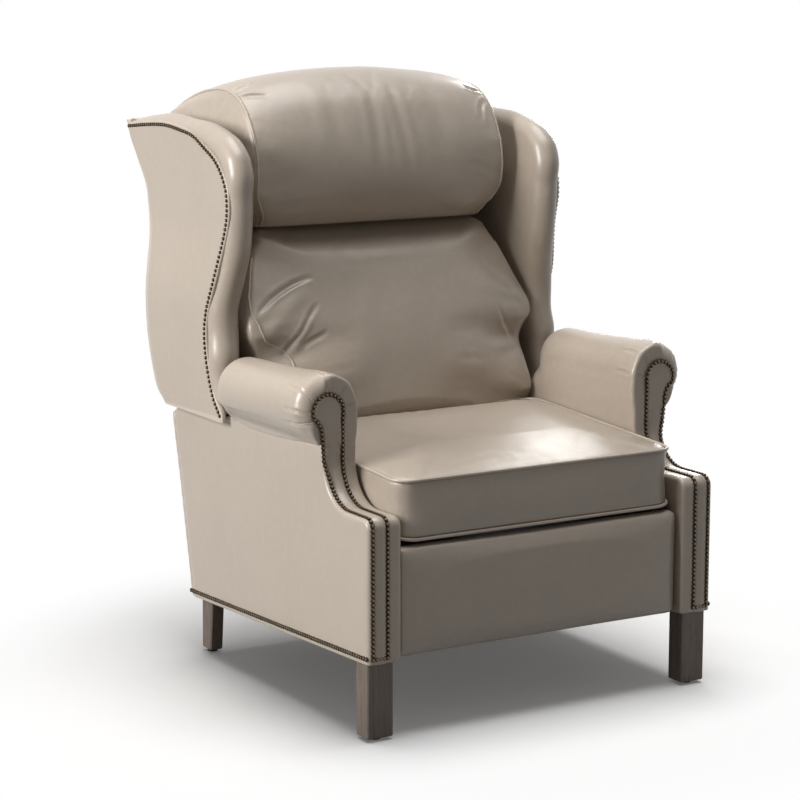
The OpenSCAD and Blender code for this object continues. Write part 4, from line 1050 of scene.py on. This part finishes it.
def lumbar_skin(right):
    """The cushion's mesh between its right outline and the mirror image: a front and a rear sheet, joined."""
    outline = np.concatenate([right, right[::-1] * [-1, 1], right[:1]])
    us = np.sin(np.linspace(-math.pi / 2, math.pi / 2, 57))
    grid = np.array([[(u * h, z) for u in us] for h, z in right])
    x, z = grid[..., 0], grid[..., 1]
    depth = distance_to(grid.reshape(-1, 2), outline)[0].reshape(x.shape)
    face_y = lumbar_y(z)
    edge = face_y[:, :1] + table(LUMBAR_EDGE, LUMBAR_ROWS)[:, None]
    crown = table(LUMBAR_CROWN, LUMBAR_ROWS)[:, None]
    inner = mix(np.maximum(edge - 14, face_y - 30), crown, ease((depth - 10) / 150))
    fore = mix(inner, edge, round_over(depth, 24))
    fore = np.maximum(fore, 27 - 60 * ease((z - 484) / 36))
    aft = face_y + 150 - 24 * round_over(depth, 30)
    sheets = [np.stack([x, y, z], -1).reshape(-1, 3) for y in (fore, aft)]
    n, m = x.shape
    at = np.arange(n * m).reshape(n, m)
    faces = []
    for k in range(n - 1):
        for i in range(m - 1):
            q = (k * m + i, k * m + i + 1, (k + 1) * m + i + 1, (k + 1) * m + i)
            faces += [q, tuple(v + n * m for v in q[::-1])]
    border = np.concatenate([at[0], at[1:, -1], at[-1, -2::-1], at[-2:0:-1, 0]]).tolist()
    faces += [(p, q, q + n * m, p + n * m) for p, q in zip(border, border[1:] + border[:1])]
    return np.concatenate(sheets), faces


def build_lumbar():
    """The lumbar cushion, whose ears lap over the arms."""
    right = np.stack([table(LUMBAR_HALF, LUMBAR_ROWS), LUMBAR_ROWS], 1)
    obj = shaped("lumbar_cushion_leather", *lumbar_skin(right))
    remesh(obj, bpy.context.scene.chair_sizes.voxel, 3)
    # The seam of the face's border: it holds while the leather between swells.
    seam = np.concatenate([right[5:-5], right[-6:4:-1] * [-1, 1]])
    seam = on_lumbar(seam, table(LUMBAR_EDGE, seam[:, 1]))
    back = ease((lumbar_depth(obj) - 100) / 30)
    inflate(obj, 3.4, 14, np.maximum(back, hold_near(coords(obj), (seam,), 5)))
    subdivide(obj)
    for path, deep, width in LUMBAR_FOLDS:
        crease(obj, snapped(obj, on_lumbar(spline(path, 8), -8)), deep, width, 0.15)
    free = ease((100 - lumbar_depth(obj)) / 30)
    puff(obj, [(150, 2.4), (50, 0.6)], 41.0, free, (1, 0.6, 0.6))
    dress(obj, "back", "leather_pad", ["lumbar_cushion"])
    half_way = len(seam) // 2
    # On the left the seam shows down to the ear, and again where it turns in over the face below it.
    left = [p for p in seam[half_way:] if p[2] > 0.715]
    left = np.concatenate([left, on_lumbar(spline(LUMBAR_TURN_IN, 6), -12)])
    for word, part in (("right", seam[:half_way]), ("left", left)):
        cord(f"lumbar_seam_{word}", snapped(obj, part, 0.2) / MM, "back", 1.9)


def snapped(obj, path, lift=0.0):
    """The path moved to the nearest places of the object's surface, or lifted off it by some millimetres."""
    out = []
    for p in path:
        _, place, normal, _ = obj.closest_point_on_mesh(Vector(p))
        out.append(np.array(place + normal * lift * MM))
    return np.array(out)


HEAD_OVER = [(0.10, 0.012, 0), (0.03, 0.10, 0), (0, 0.25, 0.1), (0, 0.42, 0.3), (0.02, 0.60, 0.6),
             (0.09, 0.78, 0.85), (0.20, 0.92, 1), (0.36, 1, 1), (0.55, 0.99, 0.9), (0.74, 0.94, 0.6),
             (0.88, 0.88, 0.3), (0.97, 0.83, 0.08), (1, 0.8, 0)]
# The boxed end's rounder outline, point for point.
HEAD_END = [(0.17, 0.03), (0.10, 0.11), (0.045, 0.235), (0.016, 0.40), (0.03, 0.58), (0.10, 0.78),
            (0.205, 0.93), (0.36, 1), (0.57, 0.99), (0.76, 0.94), (0.89, 0.88), (0.97, 0.83), (1, 0.8)]
# Folds of the headrest: places near its surface, depth and half width.
HEAD_FOLDS = [
    ([(-272, 208, 1088), (-251, 210, 1098), (-224, 216, 1108)], 3.6, 4.0),
    ([(-270, 180, 1080), (-252, 175, 1086), (-238, 170, 1087), (-220, 163, 1084)], 3.4, 4.0),
    ([(-4, 160, 1095), (-8, 118, 1045), (-12, 98, 980), (-8, 98, 930)], 1.5, 10.0),
    ([(44, 165, 1097), (46, 122, 1050), (52, 98, 985), (58, 98, 930)], 1.3, 10.0),
    ([(-90, 160, 1090), (-96, 116, 1040), (-92, 98, 985)], 1.0, 16.0),
    ([(130, 170, 1092), (138, 122, 1044), (134, 100, 970)], 1.0, 18.0),
    ([(270, 174, 1082), (250, 168, 1088), (228, 172, 1096)], 2.6, 4.5),
    ([(264, 150, 1066), (248, 136, 1056), (238, 120, 1030)], 2.2, 5.0),
    ([(266, 118, 872), (252, 122, 862), (238, 124, 852)], 1.8, 6.0),
]
HEAD_SEAM_X, HEAD_HALF = 275.0, 292.0


def inside_face(z):
    """The padded inside back's front, behind the headrest and behind the lumbar cushion."""
    z = np.asarray(z, float)
    return np.where(z > 836, back_y(z) - 102, lumbar_y(z) + 150)


# The headrest's front, rear, underside, its boxed ends' top and its middle's top.
HEAD_FRONT, HEAD_REAR, HEAD_BOTTOM, HEAD_END_TOP, HEAD_TOP = 98.0, 468.0, 838.0, 1087.0, 1136.0
# Its flat ends: x, and how far the outline is drawn in.
HEAD_ENDS = ((290.0, 70.0), (289.0, 42.0), (287.0, 21.0), (283.5, 9.0), (279.5, 2.4))


def head_fullness(x):
    """1 at the headrest's middle, 0 at its ends."""
    return float((1 - (x / HEAD_HALF) ** 2) ** 0.6)


def head_under():
    """The headrest's underside and its rear along the inside back, (y, z)."""
    face = [(float(inside_face(z)) - 1.5, z) for z in np.linspace(870, 1026, 9)]
    return [(146, 838.3), (210, 838.3), (float(inside_face(840)) - 2, 838.5), *face,
            (float(inside_face(1030)), 1033), (466, 1033)]


def head_ring(x, w, pull):
    """The headrest's outline at x. w is its fullness there, and pull draws the outline in."""
    full = float(ease(1.4 * w))
    out = []
    for (e0, e1), (s0, s1, crown) in zip(spline(HEAD_END, 3), spline(HEAD_OVER, 3)):
        across, up = mix(e0, s0, full), mix(e1, s1, full)
        y = mix(HEAD_FRONT - 10 * (1 - w), HEAD_REAR, across) + pull * (1 - across)
        z = HEAD_BOTTOM + up * (HEAD_END_TOP - HEAD_BOTTOM) + crown * w * (HEAD_TOP - HEAD_END_TOP)
        out.append((x, y, z - pull * up * (1 - across)))
    out += [(x, y, z) for y, z in head_under()[::-1]]
    # The ends' lower corners are cut round.
    return [(a * (1 - 0.11 * float(ease((912 - c) / 74))), b, c) for a, b, c in out]


def build_headrest():
    """The long head pillow with boxed ends, drawn over the top of the back."""
    seam_ring = head_ring(HEAD_SEAM_X, head_fullness(HEAD_SEAM_X), 1.0)
    right = [head_ring(x, 0.0, pull) for x, pull in HEAD_ENDS] + [seam_ring]
    right += [head_ring(x, head_fullness(x), 0.0) for x in (267, 253, 233, 204, 167, 124, 80, 40)]
    rings = right + [head_ring(0, 1.0, 0.0)] + [[(-x, y, z) for x, y, z in r] for r in right[::-1]]
    obj = shaped("headrest_leather", *loft(rings))
    remesh(obj, bpy.context.scene.chair_sizes.voxel, 3)
    line = np.array(seam_ring[:-len(head_under())]) * MM
    seams = [line * [side, 1, 1] for side, _ in SIDES]
    co = coords(obj)
    y, z = co[:, 1] / MM, co[:, 2] / MM
    near = np.minimum(np.abs(y - inside_face(z)), np.where(y > 340, np.abs(z - 1033), 1e3))
    inflate(obj, 3.2, 16, np.maximum((near < 9) | (z < 841), hold_near(co, seams, 4.5)))
    subdivide(obj)
    for path, deep, width in HEAD_FOLDS:
        crease(obj, snapped(obj, spline(path, 8) * MM), deep, width, 0.45)
    for i, seam in enumerate(seams):
        pucker(obj, seam, 30, 0.6, 40, 15.0 + i)
    co = coords(obj) / MM
    near = np.minimum(np.abs(co[:, 1] - inside_face(co[:, 2])), np.abs(co[:, 2] - HEAD_BOTTOM))
    puff(obj, [(85, 1.1), (35, 0.35)], 47.0, ease((near - 6) / 30), (1, 0.3, 0.3))
    dress(obj, "back", "leather_pad", ["headrest_cushion"])
    for seam, (_, word) in zip(seams, SIDES):
        cord(f"headrest_seam_{word}", snapped(obj, seam, 0.6) / MM, "back", 2.3)


# Front roll of the wing: height, depth and |x| of its centre, radius.
WING_ROLL = [(489, 66, 360, 26), (530, 76, 360, 28), (570, 84, 360, 29), (610, 84, 360, 30),
             (650, 91, 356.5, 30), (690, 91, 356.5, 30), (740, 79, 350, 29), (795, 62, 343.5, 28),
             (850, 52, 342, 27.5), (885, 48, 342, 27), (930, 48.5, 342, 27), (955, 51, 342, 27)]


def build_wings():
    row = even(spline(NAIL_ROW, 8), 7.0)
    edge = row + left_normals(row) * 6.5
    edge = even(np.concatenate([[(34.8, 489.0)], edge[edge[:, 1] > 490.5]]), 7.0)
    rear = at_fraction(np.concatenate([[(284.0, 489.0)], spline(BACK_LINE, 4)]), fractions(edge))
    for side, word in SIDES:
        verts, faces, mask = plate(edge, rear, wing_x, 8.0, 3.0, 36)
        obj = shaped(f"wing_outside_leather_{word}", *mirrored(verts, faces, side))
        puff(obj, [(170, 1.3), (60, 0.35)], 53.0 + side, mask)
        bevel(obj, 1.4, 60)
        dress(obj, "back", "leather", [f"wing_panel_{word}"])
        build_wing_pad(side, word, row)


# The swell of the upper front corner: place along the row, and how far it stands out.
WING_SWELL = ((36, 0), (41, 2), (50, 12), (70, 23), (95, 25), (135, 18), (190, 5), (235, 0))


def build_wing_pad(side, word, row):
    """The wing's stuffed inside: it rolls over the front and top edges beside the nail row."""
    back_line = even(spline(BACK_LINE, 6), 5.0) - [18.0, 0.0]
    rear = at_fraction(np.concatenate([[(240.0, 506.5)], back_line]), fractions(row))
    out_n = left_normals(row)
    roll = table(WING_ROLL, np.minimum(row[:, 1], 955))
    turn = ease((row[:, 1] - 900) / 95)
    turn[row[:, 0] > 131] = 1.0
    radius = mix(roll[:, 2], 27.0, turn) * np.interp(row[:, 0], [340, 400, 450, 478], [1, 0.86, 0.6, 0.4])
    side_c = np.stack([roll[:, 0], row[:, 1]], 1)
    top_c = row - out_n * (0.22 * radius)[:, None]
    # At the upper front corner the roll swells past the nail row, which cuts the corner.
    place = row[:, 0] + 0.4 * (row[:, 1] - 913).clip(-60, 0)
    swell = np.interp(place, *zip(*WING_SWELL)) * ease((row[:, 1] - 895) / 30)
    centre = mix(side_c, top_c, turn[:, None]) + out_n * swell[:, None]
    middle_x = mix(roll[:, 1], 369.5 - radius, turn)
    aim = mix(np.array([-1.0, 0.0]), out_n, turn[:, None])
    aim /= np.linalg.norm(aim, axis=1, keepdims=True)
    rings = []
    for c, x, r, n, q, nail, out, grown in zip(centre, middle_x, radius, aim, rear, row, out_n,
                                               ease(swell / 10)):
        ring = [(x + r * math.cos(a), *(c + n * r * math.sin(a)))
                for a in np.radians(np.linspace(0, 180, 19))]
        for t in np.linspace(0, 1, 25)[1:]:
            p = mix(c, q, t)
            inner = float(wing_x(p[1])) - 62
            ring.append((mix(x - r, inner, float(ease(1.6 * t))) - 2.5 * math.sin(math.pi * t), p[0], p[1]))
        for t in (1.0, 0.7, 0.4, 0.2, 0.06):
            p = mix(c, q, t)
            ring.append((float(wing_x(p[1])) - 9, p[0], p[1]))
        p = mix(mix(c, q, 0.02), nail + out * 7.5, grown)
        ring.append((mix(x + r - 1.5, float(wing_x(p[1])) - 0.8, grown), p[0], p[1]))
        rings.append([(a, b, max(d, 506.0 if a < 372 else 490.0)) for a, b, d in ring])
    obj = shaped(f"wing_inside_leather_{word}", *mirrored(*loft(rings), side))
    inside = ease((362 - np.abs(coords(obj)[:, 0]) / MM) / 30)
    puff(obj, [(140, 2.0), (50, 0.5)], 59.0 + side, inside)
    subdivide(obj)
    dress(obj, "back", "leather_pad", [f"wing_pad_{word}"])


def across_back(outline, inset):
    """A section in (y, z) drawn from wing to wing, inset from the wings' outside faces."""
    return loft([[(u * (float(wing_x(z)) - inset), y, z) for y, z in outline]
                 for u in np.linspace(-1, 1, 25)])


def build_backs():
    """The outside back, with a welt down each side, and the padded inside back behind the cushions."""
    line = spline(BACK_LINE, 4)
    obj = shaped("outside_back_leather", *across_back(np.concatenate([line, (line - [10, 0])[::-1]]), 8.6))
    remesh(obj, 5 * MM, 2)
    puff(obj, [(200, 1.8), (60, 0.4)], 67.0)
    dress(obj, "back", "leather", ["outside_back"])
    # At the top the leather turns forward over the rail, under the headrest.
    y, z = line[-1]
    outline = [(y + 0.6, z - 3), (y + 0.4, z), (y - 1, z + 2), (y - 4, z + 2.8), (y - 60, z + 2.8),
               (y - 60, z + 0.4), (y - 5, z + 0.4), (y - 5, z - 3)]
    dress(shaped("back_top_turn", *across_back(outline, 9.5)), "back", "leather")
    for side, word in SIDES:
        path = [(side * (float(wing_x(z)) - 10), y + 0.6, z) for y, z in line]
        cord(f"back_welt_{word}", path, "back", 2.6)
    zs = np.concatenate([np.linspace(511, 836, 16), np.linspace(842, 1031, 12)])
    rear = np.stack([back_y(zs) - 54.5, zs], 1)
    front = np.stack([inside_face(zs) + 0.5, zs], 1)
    obj = shaped("inside_back_leather", *across_back(np.concatenate([rear, front[::-1]]), 63))
    remesh(obj, 7 * MM, 3)
    dress(obj, "back", "leather_pad", ["inside_back"])


def nailhead(rings, sides):
    """One domed nailhead of radius 1 and height 1, as vertices and faces."""
    verts = [(0.0, 0.0, 1.0)]
    for k in range(1, rings + 1):
        t = math.pi / 2 * k / rings
        # The rim is sunk a little into the leather.
        z = math.cos(t) * 0.98 - (0.06 if k == rings else 0)
        verts += [(math.sin(t) * math.cos(b), math.sin(t) * math.sin(b), z)
                  for b in np.linspace(0, 2 * math.pi, sides, endpoint=False)]
    faces = [(0, 1 + i, 1 + (i + 1) % sides) for i in range(sides)]
    for k in range(rings - 1):
        here, below = 1 + k * sides, 1 + (k + 1) * sides
        for i in range(sides):
            j = (i + 1) % sides
            faces.append((here + i, below + i, below + j, here + j))
    faces.append(tuple(range(len(verts) - sides, len(verts)))[::-1])
    return np.array(verts), faces


def nail_mesh(name, points, directions, diameter, height):
    """Nailheads, all in one mesh, at points and along directions, each a little off true."""
    head, head_faces = nailhead(4, 12)
    rng = np.random.default_rng(len(points))
    heads = []
    for p, d in zip(points, directions):
        z = (Vector(d).normalized() + Vector(rng.normal(0, 0.035, 3))).normalized()
        turn = np.array(z.to_track_quat("Z", "Y").to_matrix())
        scale = np.array([diameter / 2, diameter / 2, height]) * rng.normal(1, 0.012)
        heads.append(((head * scale) @ turn.T + p, head_faces))
    obj = get_object(name, *joined(*heads))
    # The crown weight carries the painted highlight on top of each nail and the painted shade round its rim.
    crown = np.tile(np.clip(head[:, 2], 0, 1), len(points)).astype(np.float32)
    obj.data.attributes.new("crown", "FLOAT", "POINT").data.foreach_set("value", crown)
    return obj


def arm_nails(pitch):
    """Places and directions of the right arm's nails: round the facing, along its foot and along the base."""
    strip = front_line(530.0, 0.0, 24)
    strip = strip[strip[:, 1] > NAIL_LOW]
    # The rows run along the strip's two edges and round the arch.
    inner = [(FACE_IN, y, z) for y, z in strip]
    outer = [(float(facing_out(z)), y, z) for y, z in strip]
    arch = [(x, ARCH_Y - 2.6, z) for x, z in arc(ROLL_X, ARCH_Z, 30.5, 180, -24, 50)]
    turn = [(x, ARCH_Y - 2.2, z) for x, z in ((381.0, 547.0), (376.0, 539.0), (373.0, 530.5))]
    path = [(FACE_IN, FRONT_Y, NAIL_LOW), *inner, (FACE_IN, ARCH_Y - 1.5, 545.0), *arch, *turn,
            *outer[::-1][1:], (FACE_OUT, FRONT_Y, NAIL_LOW)]
    points, tan = along(path, pitch)
    facing = np.cross(tan, [1.0, 0, 0])
    inward = (facing[:, 1] > 0.05) | ((np.abs(facing[:, 1]) <= 0.05) & (facing[:, 2] < 0))
    facing[inward] *= -1
    facing[points[:, 2] > 500] = (0, -1, 0)
    norm = np.linalg.norm(facing, axis=1, keepdims=True)
    facing = np.where(norm > 0.2, facing / np.maximum(norm, 1e-9), [0, -1.0, 0])
    foot = [(x, FRONT_Y, NAIL_LOW) for x in np.linspace(FACE_IN + 7.5, FACE_OUT - 7.5, 3)]
    base, _ = along([(ARM_OUT + 0.2, y, base_z(y) + 6.8) for y in (-474, 214)], pitch)
    ahead, aside = np.tile([0, -1.0, 0], (len(foot), 1)), np.tile([1.0, 0, 0], (len(base), 1))
    return np.concatenate([points, foot, base]), np.concatenate([facing, ahead, aside])


def wing_nails(pitch):
    """Places and directions of the right wing's nails."""
    row = spline(NAIL_ROW, 8)
    row = row[row[:, 1] > 499]
    points, _ = along(np.stack([wing_x(row[:, 1]) + 0.6, row[:, 0], row[:, 1]], 1), pitch)
    return points, np.tile([1.0, 0, 0], (len(points), 1))


def build_nails():
    sizes = bpy.context.scene.chair_sizes
    arm, wing = arm_nails(sizes.nail_pitch / MM), wing_nails(sizes.wing_nail_pitch / MM)
    for side, word in SIDES:
        for name, body, (points, facing), diameter, height in (
                ("arm_nailheads", "base", arm, sizes.nail_d, sizes.nail_h),
                ("wing_nailheads", "back", wing, sizes.wing_nail_d, sizes.nail_h * 0.9)):
            flip = np.array([side, 1, 1])
            obj = nail_mesh(f"{name}_{word}", points * flip * MM, facing * flip, diameter, height)
            dress(obj, body, "dark_steel", look="nailheads")


def finish_frame():
    """Materials of the CAD nodes that stay visible."""
    slots = {s["node"]: s["material_slot"] for s in frame["record"]["subparts"]}
    for name, node in frame["nodes"].items():
        node.data.materials.clear()
        node.data.materials.append(material(slots[name]))


def background_rays(tree):
    """1 for the rays that see the background: the camera's, and those reflected or passed on."""
    rays = add_node(tree, "LightPath").node.outputs
    seen = rays["Is Camera Ray"]
    for kind in ("Is Glossy Ray", "Is Transmission Ray"):
        seen = add_node(tree, "Math", settings={"operation": "MAXIMUM"}, i0=seen, i1=rays[kind])
    return seen


# The stage. Each lamp: name, place, where it aims, size, watts and whether it lights the floor.
LAMPS = (("key_softbox", (-3.7, 0.05, 2.0), (0.0, 0.0, 0.6), (1.3, 1.7), 168, False),
         ("top_softbox", (0.3, 0.2, 6.0), (0.0, 0.1, 0.5), (4.0, 4.0), 260, True),
         ("rear_strip", (2.6, 2.2, 1.9), (0.0, 0.0, 0.8), (0.5, 1.8), 38, False))
FLOOR_HALF = 8
FLOOR_GREY, FLOOR_SEEN = 0.30, 1.3
# The floor's own shine for the camera, by the distance from a place near the chair's middle.
FADE_CENTRE = (0.05, -0.12, 0)
FLOOR_FADE = [(0.5, 0.08), (0.76, 0.38), (1.04, 1)]
ROOM_LIGHT = 0.13
# The photograph's camera, in metres and degrees: how far it looks round from +Y, and down.
CAMERA_PLACE = (-2.4334, -4.0489, 1.3424)
CAMERA_TURN, CAMERA_DIP = 30.79, 10.07
LENS, SENSOR = 111.2, 36


def aimed(data, place, look):
    """A lamp or a camera in the scene, looking along a direction."""
    obj = bpy.data.objects.new(data.name, data)
    obj.location = place
    obj.rotation_mode = "QUATERNION"
    obj.rotation_quaternion = look.to_track_quat("-Z", "Y")
    bpy.context.scene.collection.objects.link(obj)
    return obj


def build_floor():
    """A pale floor that keeps the chair's shadow and turns to plain white far from it."""
    corners = [(x * FLOOR_HALF, y * FLOOR_HALF, 0) for x, y in ((-1, -1), (1, -1), (1, 1), (-1, 1))]
    floor = get_object("studio_floor", corners, [(0, 1, 2, 3)])
    paper = bpy.data.materials.new("white_studio_floor")
    tree = cleared_tree(paper)
    seen = background_rays(tree)
    place = add_node(tree, "TexCoord", "Object")
    far = add_node(tree, "VectorMath", "Value", {"operation": "DISTANCE"}, i0=place, i1=FADE_CENTRE)
    fade = add_node(tree, "ValToRGB", stops=FLOOR_FADE, Fac=far)
    glowing = add_node(tree, "Math", settings={"operation": "MULTIPLY"}, i0=seen, i1=fade)
    grey, white = ((*3 * [v], 1) for v in (FLOOR_GREY, FLOOR_SEEN))
    tone = add_node(tree, "Mix", 2, {"data_type": "RGBA"}, i0=seen, i6=grey, i7=white)
    paint = add_node(tree, "BsdfDiffuse", Color=tone)
    glow = add_node(tree, "Emission", Color=(1, 1, 1, 1), Strength=1.0)
    add_node(tree, "OutputMaterial", Surface=add_node(tree, "MixShader", i0=glowing, i1=paint, i2=glow))
    floor.data.materials.append(paper)
    return floor


def build_stage():
    """Floor, white surround, a soft key from the chair's side, a wide lamp above, and the photo's camera."""
    scene = bpy.context.scene
    scene.view_settings.view_transform = "Standard"
    floor = build_floor()
    scene.world = bpy.data.worlds.new("white_room")
    tree = cleared_tree(scene.world)
    room, white = (add_node(tree, "Background", Color=(1, 1, 1, 1), Strength=s) for s in (ROOM_LIGHT, 1.0))
    both = add_node(tree, "MixShader", i0=background_rays(tree), i1=room, i2=white)
    add_node(tree, "OutputWorld", Surface=both)
    # The side lamps leave the floor alone, so that the only shadow is the soft one of the wide lamp.
    unlit = bpy.data.collections.new("not_lit_from_the_sides")
    unlit.objects.link(floor)
    unlit.collection_objects[0].light_linking.link_state = "EXCLUDE"
    for name, place, aim, size, watts, on_floor in LAMPS:
        data = bpy.data.lights.new(name, "AREA")
        data.shape = "RECTANGLE"
        data.size, data.size_y = size
        data.energy = watts
        lamp = aimed(data, place, Vector(aim) - Vector(place))
        if not on_floor:
            lamp.light_linking.receiver_collection = unlit
    data = bpy.data.cameras.new("photo_camera")
    data.lens, data.sensor_width = LENS, SENSOR
    turn, dip = math.radians(CAMERA_TURN), math.radians(CAMERA_DIP)
    look = Vector((math.sin(turn) * math.cos(dip), math.cos(turn) * math.cos(dip), -math.sin(dip)))
    scene.camera = aimed(data, CAMERA_PLACE, look)


# The add-on's operators, one for each piece or group of like pieces

class CHAIR_OT_frame(bpy.types.Operator):
    """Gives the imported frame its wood, steel and lining"""
    bl_idname = "chair.frame"
    bl_label = "Finish the frame"

    def execute(self, context):
        finish_frame()
        return {"FINISHED"}


class CHAIR_OT_legs(bpy.types.Operator):
    """Makes the oak legs and their glides"""
    bl_idname = "chair.legs"
    bl_label = "Legs"

    def execute(self, context):
        build_legs()
        return {"FINISHED"}


class CHAIR_OT_arms(bpy.types.Operator):
    """Makes the arms' outside and inside leather, facings and rolls"""
    bl_idname = "chair.arms"
    bl_label = "Arms"

    def execute(self, context):
        build_arms()
        build_base_rear()
        return {"FINISHED"}


class CHAIR_OT_seat(bpy.types.Operator):
    """Makes the seat cushion and its welts"""
    bl_idname = "chair.seat"
    bl_label = "Seat cushion"

    def execute(self, context):
        build_seat()
        return {"FINISHED"}


class CHAIR_OT_footrest(bpy.types.Operator):
    """Makes the footrest's padded face"""
    bl_idname = "chair.footrest"
    bl_label = "Footrest"

    def execute(self, context):
        build_footrest()
        return {"FINISHED"}


class CHAIR_OT_back(bpy.types.Operator):
    """Makes the outside and inside back, the lumbar cushion and the headrest"""
    bl_idname = "chair.back"
    bl_label = "Back cushions"

    def execute(self, context):
        build_backs()
        build_lumbar()
        build_headrest()
        return {"FINISHED"}


class CHAIR_OT_wings(bpy.types.Operator):
    """Makes the wings"""
    bl_idname = "chair.wings"
    bl_label = "Wings"

    def execute(self, context):
        build_wings()
        return {"FINISHED"}


class CHAIR_OT_nails(bpy.types.Operator):
    """Sets the rows of nailheads"""
    bl_idname = "chair.nails"
    bl_label = "Nailheads"

    def execute(self, context):
        build_nails()
        return {"FINISHED"}


class CHAIR_OT_stage(bpy.types.Operator):
    """Makes the floor, the lamps and the camera"""
    bl_idname = "chair.stage"
    bl_label = "Stage"

    def execute(self, context):
        build_stage()
        return {"FINISHED"}


class CHAIR_PT_panel(bpy.types.Panel):
    """Lists the pieces, sizes and colours"""
    bl_idname = "CHAIR_PT_panel"
    bl_label = "Wingback recliner"
    bl_space_type = "VIEW_3D"
    bl_region_type = "UI"
    bl_category = "Recliner"

    def draw(self, context):
        for c in OPERATORS:
            self.layout.operator(c.bl_idname)
        for group in (context.scene.chair_sizes, context.scene.chair_colours):
            for key in group.__annotations__:
                self.layout.prop(group, key)


OPERATORS = (CHAIR_OT_frame, CHAIR_OT_legs, CHAIR_OT_arms, CHAIR_OT_seat, CHAIR_OT_footrest, CHAIR_OT_back,
             CHAIR_OT_wings, CHAIR_OT_nails, CHAIR_OT_stage)
CLASSES = (ChairColours, ChairSizes) + OPERATORS + (CHAIR_PT_panel,)


def register():
    for c in CLASSES:
        bpy.utils.register_class(c)
    bpy.types.Scene.chair_colours = PointerProperty(type=ChairColours)
    bpy.types.Scene.chair_sizes = PointerProperty(type=ChairSizes)


def unregister():
    del bpy.types.Scene.chair_colours
    del bpy.types.Scene.chair_sizes
    for c in reversed(CLASSES):
        bpy.utils.unregister_class(c)


def main():
    register()
    for step in ("frame", "legs", "arms", "seat", "footrest", "back", "wings", "nails", "stage"):
        getattr(bpy.ops.chair, step)()


if __name__ == "__main__":
    main()
